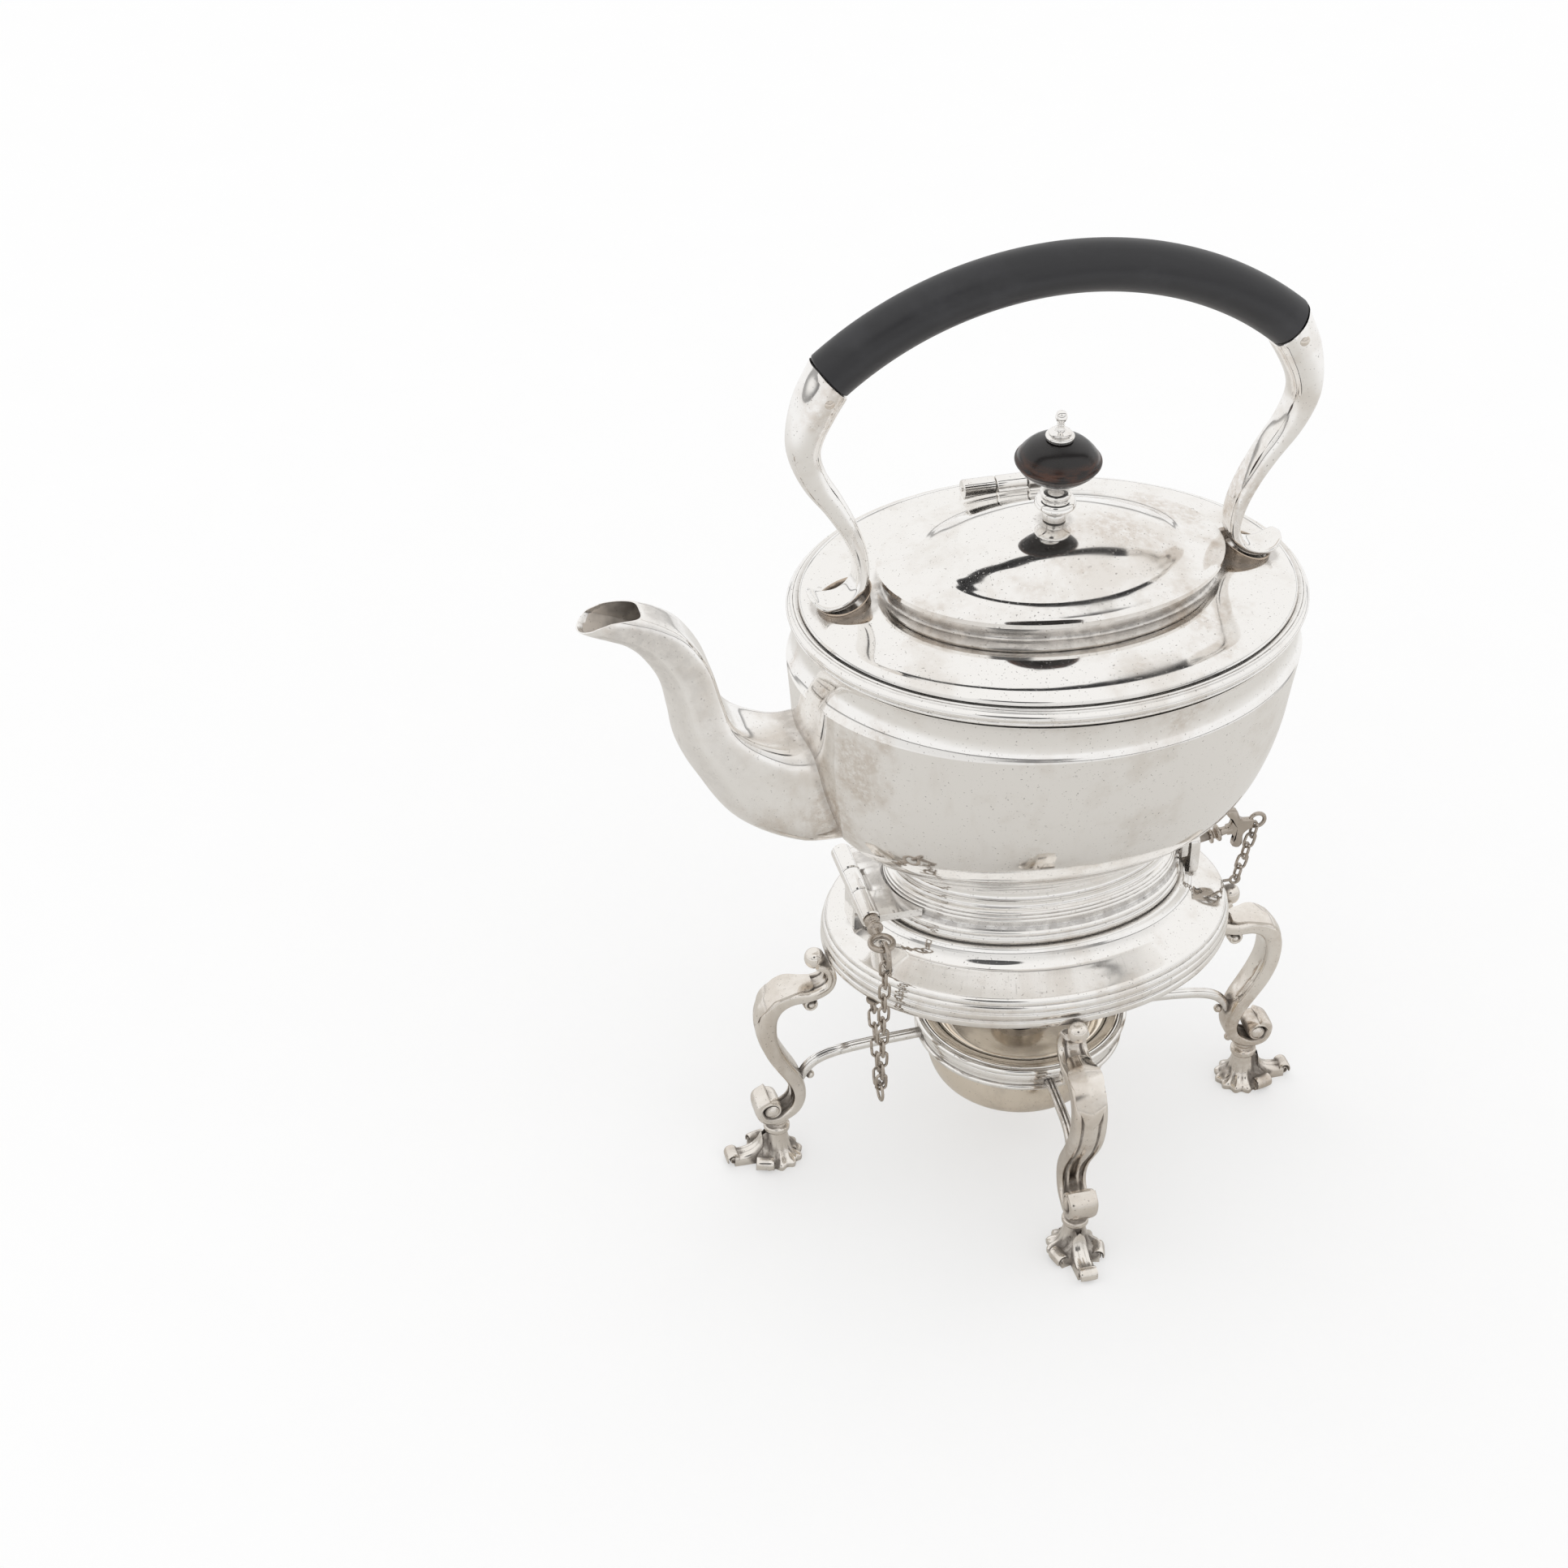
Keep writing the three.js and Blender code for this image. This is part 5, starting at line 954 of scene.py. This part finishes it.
def leg_blocks():
    """All of one leg with its outward direction along +X, measured from its own foot's centre."""
    rows = spline(STRAP, 8)
    path = rows[:, :2] * (LEG_SPAN, STRAP_TOP)
    strap = grid(bar(path, rows[:, 2] * LEG_WIDE, rows[:, 3] * LEG_THICK, panelled()), caps=True)
    upper = np.array(STRAP[4][:2]) * (LEG_SPAN, STRAP_TOP) - (0, VOLUTE)
    knob_at = (STRAP[0][0] * LEG_SPAN + 0.33, 0, STRAP[0][1] * STRAP_TOP + VOLUTE * 0.5)
    skirt = spline(SHELL, 6) * (SHELL_RADIUS, FOOT_HEIGHT)
    shell, t = lathe(skirt, 72), np.linspace(0, 2 * np.pi, 72, endpoint=False)
    ripple = 1 + SHELL_RIPPLE * np.cos(12 * t) * (1 - skirt[:, 1:2] / FOOT_HEIGHT)
    shell[..., :2] *= ripple[..., None]
    blocks = [strap,
              scroll(upper, VOLUTE * 0.7, VOLUTE * 0.42, 0.6 * np.pi, -1.2 * np.pi, LEG_WIDE * 0.46, 0.9),
              boss(*upper, 1.3, LEG_WIDE * 0.5), boss(*LOW_EYE, 2.4, LEG_WIDE * 0.5),
              scroll(LOW_EYE, 4.5, 2, -0.5 * np.pi, 1.6 * np.pi, LEG_WIDE * 0.43, 0.8),
              leaf(), ball(-14.8, 0, 33.7, 1.5), ball(-9.8, 0, 19.9, 1.4),
              moved(turned(spline(LEG_KNOB, 4), 28), knob_at),
              moved(turned(spline(LEG_COLLAR, 4), 40), (-FOOT_OFFSET, 0, 0)),
              moved(grid(shell, caps=True), (-FOOT_OFFSET, 0, 0))]
    for turn, length in TOES:
        blocks += toe(turn, length)
    return blocks


FEET = {"left": (math.pi, STAND[0] + LEG_SPAN), "front": (-math.pi / 2, STAND[1] + LEG_SPAN),
        "right": (0.0, STAND[0] + LEG_SPAN), "back": (math.pi / 2, STAND[1] + LEG_SPAN)}
for word, (angle, reach) in FEET.items():
    blocks = [moved(moved(block, (reach, 0, 0)), turn=about("Z", angle)) for block in leg_blocks()]
    piece(f"leg_{word}_cast", blocks, "stand", silver_cast, "silver_stand", [f"leg_{word}"], crease=50)
print("four legs with", len(leg_blocks()), "parts each")

# %% [markdown]
# ## Burner ring and struts
# A moulded hoop carries the spirit burner. Four struts of triple reed curve from the legs to it.

# %% Burner frame
HOOP_RADIUS, HOOP_TOP, HOOP_HEIGHT, HOOP_BORE, HOOP_LEDGE = 36.2, 51.2, 9.6, 31.8, 33.6
STRUT = [[0, 0], [0.06, 0.36], [0.14, 0.6], [0.27, 0.77], [0.48, 0.88], [0.74, 0.95], [1, 1]]
STRUT_START, STRUT_LOW, STRUT_RISE, STRUT_HALF, STRUT_IN = 11.4, 33.6, 11.0, (1.75, 1.5), 1.6
HOOP_HOLLOW = [[34.1, 44], [34, 45], [34.35, 46.2], [34.9, 46.8]]
HOOP_STEP = [[35.1, 46.8], [35.1, 48.5], [34.8, 48.8]]


def half_round(centre_r, centre_z, radius, start, finish, count=9):
    """A moulding's bead: an arc of [r, z] points."""
    angle = np.linspace(start, finish, count)
    return np.c_[centre_r + radius * np.cos(angle), centre_z + radius * np.sin(angle)]


def hoop():
    """A bead at the foot, a hollow, a step and a larger bead at the top, with a ledge inside."""
    bottom = HOOP_TOP - HOOP_HEIGHT
    outer = runs([[33.7, bottom]], half_round(33.9, bottom + 1.1, 1.1, -np.pi / 2, np.pi / 2),
                 spline(HOOP_HOLLOW, 4), HOOP_STEP,
                 half_round(35, HOOP_TOP - 1.2, 1.2, -0.45 * np.pi, 0.5 * np.pi))
    inner = [[HOOP_LEDGE + 0.2, HOOP_TOP], [HOOP_LEDGE, HOOP_TOP - 0.2], [HOOP_LEDGE, HOOP_TOP - 1.6],
             [HOOP_BORE, HOOP_TOP - 1.6], [HOOP_BORE, bottom + 0.2], [HOOP_BORE + 0.2, bottom],
             [33.7, bottom]]
    return grid(lathe(runs(outer, inner), 128))


def triple_reed():
    """A section of three reeds side by side: a flat oval whose top follows the cosine of its width,
    its sign dropped."""
    t = np.linspace(0, 2 * np.pi, 36, endpoint=False)
    across, out = np.cos(t), np.sin(t)
    reed = 0.5 + 0.5 * np.abs(np.cos(1.5 * np.pi * across))
    return np.c_[across, np.sign(out) * reed * np.abs(out) ** 0.4]


def strut(reach, angle):
    """From the back of the leg it climbs steeply, then runs in nearly level to the hoop."""
    path = spline(STRUT, 8)
    span = reach - STRUT_START - HOOP_RADIUS + STRUT_IN
    rows = np.c_[reach - STRUT_START - path[:, 0] * span, STRUT_LOW + path[:, 1] * STRUT_RISE]
    return moved(grid(bar(rows, *STRUT_HALF, triple_reed()), caps=True), turn=about("Z", angle))


frame_blocks = [hoop()] + [strut(reach, angle) for angle, reach in FEET.values()]
piece("burner_hoop_and_struts", frame_blocks, *IN_STAND, ["burner_frame"], crease=50)
print("burner frame has", len(frame_blocks), "blocks")

# %% [markdown]
# ## Burner
# The lift-out burner is a round bowl with a flange, a dished cover and a short tube for the wick.
# The flame's heat has turned its silver yellow.

# %% Burner bowl, cover, tube and wick
BURNER_RADIUS, BURNER_BOTTOM, FLANGE_LOW, FLANGE_TOP, FLANGE_RADIUS = 31.45, 23.1, 49.9, 51.1, 33.25
BURNER_RISE, BURNER_HOLLOW, AXIS_GAP, WICK_WAVE = 26.8, 26.6, 0.02, 1.9
BURNER = [[0, 0], [0.35, 0], [0.7, 0], [0.8, 0.03], [0.9, 0.14], [0.965, 0.34], [1, 0.62], [1, 0.99]]
COVER = [[9.42, 46.5], [16, 46.5], [22.5, 46.5], [24.5, 46.9], [26.4, 49.26], [28.4, 50.8], [29.7, 51.1]]
TUBE_BOTTOM, TUBE_LIP, TUBE_BORE, TUBE_RADIUS = 40.6, 54.2, 7.6, 9
WICK = [[7.3, 40.6], [7.3, 48], [7.3, 54], [7.1, 55.6], [6.2, 56.4], [4.4, 56.6], [2.2, 56.7], [0.05, 56.75]]


def burner_shell():
    """The bowl's outer face, the flange's rounded edge, and the inner face back to the axis."""
    outer = turning(BURNER, BURNER_RADIUS, BURNER_BOTTOM, BURNER_RISE)
    outer[:, 0] = np.clip(outer[:, 0], AXIS_GAP, BURNER_RADIUS)
    edge = half_round(FLANGE_RADIUS - 0.6, (FLANGE_LOW + FLANGE_TOP) / 2, 0.6, -np.pi / 2, np.pi / 2, 7)
    inner = sized(spline(BURNER, 4), (BURNER_RADIUS - SHEET, BURNER_HOLLOW), BURNER_BOTTOM + SHEET)[::-1]
    inner[:, 0] = np.clip(inner[:, 0], AXIS_GAP, BURNER_RADIUS - SHEET)
    inner[:, 1] = np.minimum(inner[:, 1], FLANGE_TOP)
    return grid(lathe(runs(outer, edge, inner), 96), caps=True)


def cover_shell():
    """From its bore the dish runs out and turns up to the rim: a closed sheet 1.4 mm thick."""
    top = spline(COVER, 6)
    return grid(lathe(np.vstack([top, (top - (0, SHEET))[::-1], top[:1]]), 96))


def tube_shell():
    """An open tube with a rolled lip at its top."""
    outside = [[TUBE_BORE, TUBE_BOTTOM], [TUBE_RADIUS, TUBE_BOTTOM], [TUBE_RADIUS, TUBE_LIP]]
    inside = [[8, TUBE_LIP], [TUBE_BORE, TUBE_LIP - 0.6], [TUBE_BORE, TUBE_BOTTOM]]
    return grid(lathe(runs(outside, half_round(8.5, TUBE_LIP + 0.3, 0.5, 0, np.pi, 7), inside), 64))


def wick_bundle():
    """A round plait: its top is domed and ruffled by waves across it."""
    points = lathe(WICK, 48)
    reach = np.hypot(points[..., 0], points[..., 1])
    wave = 0.22 * np.cos(WICK_WAVE * points[..., 0]) * np.cos(WICK_WAVE * points[..., 1])
    points[..., 2] += np.where(points[..., 2] > 55, -np.abs(wave) * np.minimum(reach, 4), 0)
    return grid(points, caps=True)


IN_BURNER = ("burner", silver_inside, "silver_burner")
piece("burner_bowl_round", [burner_shell()], *IN_BURNER, ["burner_bowl"], crease=50)
piece("burner_cover_dished", [cover_shell()], *IN_BURNER, ["burner_cover"], crease=50)
piece("wick_tube_rolled", [tube_shell()], *IN_BURNER, ["wick_tube"])
piece("wick_plait", [wick_bundle()], "burner", cotton, "cotton_wick", ["wick"])
print("burner radius", BURNER_RADIUS, "mm; flange", FLANGE_RADIUS, "mm")

# %% [markdown]
# ## Front hinge and its pin
# The kettle tilts on a pinned hinge at the spout's end. Two knuckles and a bevelled plate belong to
# the kettle's foot, and the knuckle between them to the stand. The pin pulls out by its bow.

# %% Front hinge
HINGE_X, HINGE_Z, HINGE_END, HINGE_MIDDLE, HINGE_RADIUS, BORE = -59.0, 112.0, 18.5, 5.55, 3.3, 1.8
HINGE_PLAY, KNUCKLE_SOFT, PLATE_SHARE, END_CLEAR, MIDDLE_CLEAR = 0.3, 0.4, 0.97, 1.4, 4.0
PLATE_EDGE = ((0, 110.7), (0, 112.9), (0.12, 113.4), (1, 113.4), (1, 110.7))
PIN_NECK = [[1, 0.04], [1, 0.16], [0.6, 0.24], [0.6, 0.34], [1, 0.46], [1, 0.6], [0.56, 0.7], [0.5, 1]]


def hollow_knuckle(y0, y1):
    """A knuckle with its bore: out along the face, across the end and back through the hole."""
    small, wide = HINGE_RADIUS - KNUCKLE_SOFT, HINGE_RADIUS
    rows = [[BORE, y0], [small, y0], [wide, y0 + KNUCKLE_SOFT], [wide, y1 - KNUCKLE_SOFT], [small, y1],
            [BORE, y1], [BORE, y0]]
    return lying(grid(lathe(rows, 40)), HINGE_X, HINGE_Z)


def foot_plate(y0, y1, clear=END_CLEAR):
    """The hinge's plate: flat, with a bevel along its outer edges, run in to the foot's oval."""
    y = np.linspace(y0, y1, 15)
    near = -FOOT[0] * PLATE_SHARE * np.sqrt(1 - (y / (FOOT[1] * PLATE_SHARE)) ** 2)
    rows = [np.c_[HINGE_X + clear + (near - HINGE_X - clear) * share, y, np.full_like(y, z)]
            for share, z in PLATE_EDGE]
    return grid(np.stack(rows, 1), caps=True)


inner_end = HINGE_MIDDLE + HINGE_PLAY
spans = ((inner_end, HINGE_END), (-HINGE_END, -inner_end))
kettle_side = [shape(*span) for shape in (hollow_knuckle, foot_plate) for span in spans]
kettle_side.append(foot_plate(-inner_end, inner_end, MIDDLE_CLEAR))
piece("kettle_hinge_knuckles", kettle_side, *KETTLE, ["kettle_hinge"])
post = brick((HINGE_X - 2.1, -5.3, 97.4), (HINGE_X + 1.7, 5.3, 110.2), 0.5)
piece("stand_hinge_knuckle", [hollow_knuckle(-HINGE_MIDDLE, HINGE_MIDDLE), post], *IN_STAND,
      ["stand_knuckle"])


def along_axis(rows, origin, axis, steps=32):
    """A turned piece with its length along an axis in space: rows are [r, distance]."""
    axis = np.asarray(axis, float) / np.linalg.norm(axis)
    side = np.cross(axis, (0.3, 0.2, 0.9))
    side /= np.linalg.norm(side)
    return moved(turned(rows, steps), origin, np.stack([side, np.cross(axis, side), axis], 1))


def wire_ring(place, axis, radius, wire, around, sides):
    """A round wire ring at a place, tipped a quarter turn out of the level about an axis."""
    return moved(ring(radius, wire, 0, around, sides), place, about(axis, math.pi / 2))


FITTING = (silver_link, "silver_fittings")
BOW_Y, PIN_RING = -30.6, (HINGE_X, -35.35, 110.85)
shaft = runs([[0.5, -18.5], [1.4, -18.1], [1.5, -17.6], [1.5, 18.5]], turning(PIN_NECK, 2.5, 18.5, 8.5))
bow_ring = moved(ring(3.6, 1.0, 0, 48, 14), (HINGE_X, BOW_Y, HINGE_Z))
piece("hinge_pin_turned", [along_axis(shaft, (HINGE_X, 0, HINGE_Z), (0, -1, 0)), bow_ring],
      "hinge_pin", *FITTING, ["hinge_pin"])
piece("hinge_pin_ring", [wire_ring(PIN_RING, "Y", 4.0, 0.8, 48, 12)], "hinge_pin", *FITTING, ["pin_ring"])
print("hinge axis at", HINGE_X, HINGE_Z)

# %% [markdown]
# ## Rear lock
# A lug on the kettle's foot meets a post on the stand. A turned pin with a flat thumb plate and an eye
# runs through both on a slope, and keeps the kettle from tilting.

# %% Lock lug, post and pin
LOCK_X, LOCK_Z, LOCK_SLOPE = 79.0, 114.0, math.radians(12)
LOCK_EYE, LOCK_REACH, NECK_START = (LOCK_X, 0, LOCK_Z), 24.2, -17.4
HOLE_HALF_WIDTH, HOLE_HALF_HEIGHT, HOLE_BEVEL = 1.8, 1.85, 0.4
LOCK_AXIS = (math.cos(LOCK_SLOPE), 0, math.sin(LOCK_SLOPE))
THUMB_SIZE, THUMB_HALF_THICK, THUMB_BEVEL, THUMB_SHRINK = (4.8, 8.2), 1.2, 0.4, 0.9
THUMB = [[-1, -0.2], [-0.7, -0.24], [-0.5, -0.55], [-0.8, -0.8], [-0.4, -1], [-0.05, -0.86], [0.05, -0.5],
         [0.35, -0.3], [1, -0.18]]


def thumb_plate(origin):
    """The anchor-shaped plate: its outline, a little smaller on both faces for a bevelled edge."""
    lower = spline(THUMB, 4)
    outline = np.vstack([lower, (lower * (1, -1))[::-1]]) * THUMB_SIZE
    face, edge = THUMB_HALF_THICK, THUMB_HALF_THICK - THUMB_BEVEL
    rows = []
    for shrink, y in ((THUMB_SHRINK, -face), (1, -edge), (1, edge), (THUMB_SHRINK, face)):
        rows.append(np.c_[outline[:, 0] * shrink, np.full(len(outline), y), outline[:, 1] * shrink])
    return moved(grid(np.stack(rows), caps=True), origin, about("Y", -LOCK_SLOPE))


def on_lock(distance):
    """A place on the lock's axis, at a distance from the eye's middle."""
    return np.array(LOCK_EYE) + np.array(LOCK_AXIS) * distance


tip = -LOCK_REACH / math.cos(LOCK_SLOPE)
rod_rows = runs([[0.6, tip], [1.35, tip + 0.5], [1.5, tip + 1], [1.5, NECK_START]],
                turning(PIN_NECK, 2.8, NECK_START, 6.4), [[1.4, -9]])
rod = along_axis(rod_rows, LOCK_EYE, LOCK_AXIS)
piece("lock_pin_turned", [rod, thumb_plate(on_lock(-6.2)), wire_ring(LOCK_EYE, "X", 2.6, 0.7, 36, 12)],
      "lock_pin", *FITTING, ["lock_pin"], crease=45)


def drilled(low_x, high_x, half_wide, bottom, top, foot_half=0.0):
    """A plate with its hole along the lock's axis: rings of points from the bore to the soft square
    outline, on the inner and outer face. With a foot, the inner face follows the kettle foot's oval."""
    t = (np.arange(48) + 0.5) * 2 * np.pi / 48
    square = soft_square(48, 3.2)
    half_tall = (top - bottom) / 2
    edge_y, edge_z = half_wide * square[:, 0], bottom + half_tall + half_tall * square[:, 1]
    hole_y = HOLE_HALF_WIDTH * np.cos(t)
    outer, inner = [(high_x, 0), (high_x, 0.94), (high_x - HOLE_BEVEL, 1)], [(low_x, 1), (low_x, 0)]
    rows = []
    for x, share in outer + inner + outer[:1]:
        hole_z = LOCK_Z - (LOCK_X - x) * math.tan(LOCK_SLOPE) + HOLE_HALF_HEIGHT * np.sin(t)
        y, z = hole_y + (edge_y - hole_y) * share, hole_z + (edge_z - hole_z) * share
        inward = foot_half * (1 - np.sqrt(1 - (y / FOOT[1]) ** 2)) if x == low_x and foot_half else 0
        rows.append(np.c_[x - inward + 0 * y, y, z])
    return grid(np.stack(rows))


lug = drilled(52.1, 54.05, 3.9, 105.3, 112.2, FOOT[0])
piece("lock_lug_drilled", [lug], *KETTLE, ["lock_lug"], crease=45)
piece("lock_post_drilled", [drilled(54.7, 57.9, 4.4, 98.6, 113.0)], *IN_STAND, ["lock_post"], crease=45)
print("lock pin is", round(-tip, 1), "mm from tip to eye")

# %% [markdown]
# ## Chains
# Small oval links of wire, each turned a quarter from the last, keep the two pins from getting lost.
# A link is a ring with straight sides. One loop lays out the strands: the links hang straight down,
# spaced by their pitch, and are then turned into the strand's slope.

# %% Eyes and chain links
EYE_FRONT, EYE_REAR, CHAIN_RING = (-59.0, -24.366, 80.8), (73.4, 0.0, 90.0459), (-59.0, -35.607, 54.067)
# Each strand's body, links, origin, first drop, pitch, length of a link, and turns in degrees.
STRANDS = (("pin_chain", 11, PIN_RING, 5.35, 4.7, 7.1, (("X", -1.194),)),
           ("stand_chain", 5, EYE_FRONT, 4.0, 5.0, 7.4, (("X", -22.805),)),
           ("lock_chain", 5, EYE_REAR, 3.1, 4.4, 6.8, (("Z", 90), ("Y", 193.162))))
WIRE, LINK_HALF = 0.5, 1.7
PAD = [[1.6, 82.98], [2.3, 83.1], [2.4, 83.4], [2.4, 83.98], [2.0, 84.0]]


def link_block(length, quarter):
    """One oval link along -Z, with its wide side across X, or turned a quarter about its length."""
    block = ring(LINK_HALF, WIRE, length - 2 * LINK_HALF - 2 * WIRE, 20, 8)
    block = moved(block, turn=about("X", math.pi / 2))
    return moved(block, turn=about("Z", math.pi / 2 * quarter))


for body, count, origin, first, pitch, length, turns in STRANDS:
    for i in range(count):
        link = moved(link_block(length, i % 2), (0, 0, -(first + pitch * i)))
        for axis, angle in turns:
            link = moved(link, turn=about(axis, math.radians(angle)))
        piece(f"{body}_link_{i + 1}", [moved(link, origin)], body, *FITTING, [f"{body}_{i + 1}"])

piece("joining_ring", [wire_ring(CHAIN_RING, "Y", 3.2, WIRE, 40, 10)], "stand_chain", *FITTING,
      ["chain_ring"])
pad = moved(turned(PAD, 28), (*EYE_FRONT[:2], 0))
stem = along_axis([[0.5, 0], [0.5, 2.4]], (69.3, 0, EYE_REAR[2]), (1, 0, 0), 16)
piece("front_eye_and_pad", [pad, wire_ring(EYE_FRONT, "Y", 2.2, WIRE, 32, 10)], "stand", *FITTING,
      ["chain_eye_front"])
piece("rear_eye_and_stem", [stem, wire_ring(EYE_REAR, "X", 1.6, WIRE, 28, 10)], "stand", *FITTING,
      ["chain_eye_rear"])
print("links:", sum(strand[1] for strand in STRANDS))

# %% [markdown]
# ## Rivets
# A small rivet head shows on the front of each of the handle's two sockets.

# %% Rivets
RIVET = [[1.9, -1.6], [1.9, -0.1], [1.55, 0], [1.5, 0.35], [0.9, 0.75], [0.02, 0.9]]
RIVET_PLACES = {"left": (-74.6, -7.3, 298.8), "right": (72.7, -7.3, 300.7)}

for word, place in RIVET_PLACES.items():
    piece(f"rivet_{word}", [along_axis(RIVET, place, (0, -1, 0), 24)], "kettle", silver_cast,
          "silver_kettle")
print("rivets:", len(RIVET_PLACES))

# %% [markdown]
# ## Where the cloth can't reach, and where shade falls
# Tarnish stays in corners and crevices, and shade falls there too; the finishes paint both into the
# colour. To find them, the area of every face is poured into a grid of small cells and blurred. A
# point is crowded where the space just in front of it holds more metal than there would be over a
# flat sheet. The number is kept on each vertex and the finishes read it.

# %% Crowding
CELL, BLUR, REACH, MARGIN = 0.001, 0.0019, 0.0019, 0.008


def every(items, field, width=3):
    """One field of all of a mesh's faces or vertices, a row for each."""
    values = np.empty(len(items) * width)
    items.foreach_get(field, values)
    return values.reshape(-1, width)


def blurred(values, width):
    """A Gaussian blur of a 3-D grid, as a product of the grid's spectrum with the Gaussian's."""
    spectrum = np.fft.rfftn(values)
    steps = [np.fft.fftfreq(n) for n in values.shape[:2]] + [np.fft.rfftfreq(values.shape[2])]
    for axis, step in enumerate(steps):
        shape = [1, 1, 1]
        shape[axis] = -1
        spectrum *= np.exp(-2 * (np.pi * step * width) ** 2).reshape(shape)
    return np.fft.irfftn(spectrum, values.shape)


def corner_shares(places, start, cells):
    """The eight cells round each place, as flat numbers, and each one's share by nearness."""
    where = (places - start) / CELL - 0.5
    base = np.floor(where).astype(int)
    part = where - base
    corners, shares = [], []
    for corner in np.ndindex(2, 2, 2):
        corners.append(np.ravel_multi_index(np.clip(base + corner, 0, cells - 1).T, cells))
        shares.append(np.prod(np.where(corner, part, 1 - part), axis=1))
    return np.array(corners), np.array(shares)


def mark_crowding(meshes):
    """Writes on each vertex the metal found REACH in front of it, over what a flat sheet gives."""
    centres = np.vstack([every(mesh.polygons, "center") for mesh in meshes])
    areas = np.vstack([every(mesh.polygons, "area", 1) for mesh in meshes])[:, 0]
    start = centres.min(0) - MARGIN
    cells = np.ceil((centres.max(0) + MARGIN - start) / CELL).astype(int)
    corners, shares = corner_shares(centres, start, cells)
    amount = np.bincount(corners.ravel(), (shares * areas / CELL ** 2).ravel(), cells.prod()).reshape(cells)
    width = BLUR / CELL
    flat_sheet = math.exp(-0.5 * (REACH / BLUR) ** 2) / (math.sqrt(2 * math.pi) * width)
    amount = blurred(amount, width).ravel() / flat_sheet
    for mesh in meshes:
        front = every(mesh.vertices, "co") + every(mesh.vertices, "normal") * REACH
        corners, shares = corner_shares(front, start, cells)
        found = (amount[corners] * shares).sum(0)
        mesh.attributes.new("crowding", "FLOAT", "POINT").data.foreach_set("value", found)
    return amount.max()


most = mark_crowding([bpy.data.objects[name].data for name, _ in made])
print("cells", CELL * 1000, "mm; most crowded", round(most, 1))

# %% [markdown]
# ## Light and backdrop
# Polished silver shows its surroundings more than itself. The studio was a white tent with a darker
# opening in front. So the world is plain white to the camera, and in reflections it has a thin seam
# round the horizon, which draws the lines along the edges, a darker front wall and a round opening
# about the lens.

# %% World and floor
WHITE, TENT_WHITE, TENT_DARK = (1, 1, 1, 1), (1, 0.995, 0.985, 1), (0.03, 0.03, 0.032, 1)
PAPER, TABLE = (0.98, 0.98, 0.98, 1), (0.74, 0.722, 0.69, 1)
OPENING_TO = (-0.214, -0.771, 0.599)
SEAM_SHARE, OPENING_SHARE, WALL_SHARE, DARKEST = 0.6, 0.9, 0.16, 0.93
FLOOR_REACH, FLOOR_SHADOW_LIFT = 6000.0, 0.4

world = bpy.data.worlds.new("white tent")
bpy.context.scene.world = world
world.use_nodes = True
tree = world.node_tree
background = tree.nodes["Background"]
start = Wire(tree)
sight = start.place("Generated")
across, away, height = (sight.part(axis) for axis in "XYZ")
seam = height.between(-0.22, -0.12) * height.between(0.07, 0.0)
to_lens = across * OPENING_TO[0] + away * OPENING_TO[1] + height * OPENING_TO[2]
opening = to_lens.between(0.972, 0.982)
front_wall = away.between(0.1, -0.7) * height.between(0.75, 0.2)
dark = (seam * SEAM_SHARE + opening * OPENING_SHARE + front_wall * WALL_SHARE).capped(DARKEST)
tent = (1.0 - dark).blend(TENT_DARK, TENT_WHITE)
fill(background.inputs["Color"], start.ray("Glossy").blend(WHITE, tent))
fill(background.inputs["Strength"], 1)

floor_material, shader, start = finish_of("paper floor")
paper = start.noise(30, 3).blend(PAPER, WHITE)
distance = start.make("ShaderNodeVectorMath", {"operation": "LENGTH"}, {0: start.place()}, out="Value")
table = distance.between(0.3, 0.8).blend(TABLE, WHITE)
plug(shader, Base_Color=start.ray("Glossy").blend(paper, table), Roughness=0.9)
# Painted light: for camera rays a share of white glow is mixed into the floor, lightening the object's
# shadow there by that share.
painted_glow = start.make("ShaderNodeEmission", (), {"Color": WHITE, "Strength": 1})
plain = Wire(start.tree, shader.outputs[0])
mixed = start.make("ShaderNodeMixShader", (), {0: start.ray("Camera") * FLOOR_SHADOW_LIFT, 1: plain, 2: painted_glow})
fill(start.tree.nodes["Material Output"].inputs["Surface"], mixed)
corners = np.array([(-1, -1, 0), (1, -1, 0), (1, 1, 0), (-1, 1, 0)]) * FLOOR_REACH
floor_mesh = bpy.data.meshes.new("floor")
floor_mesh.from_pydata(in_frame(corners), [], [(0, 1, 2, 3)])
floor_mesh.materials.append(floor_material)
floor = bpy.data.objects.new("floor", floor_mesh)
bpy.context.scene.collection.objects.link(floor)
bpy.context.scene.view_settings.view_transform = "Standard"
print("floor reaches", FLOOR_REACH / 1000, "m")

# %% [markdown]
# ## Measure and finish
# The number of pieces and their faces is printed. The visual model has to stay inside
# the packed box.


print("pieces:", len(made), "faces:", sum(count for _, count in made))
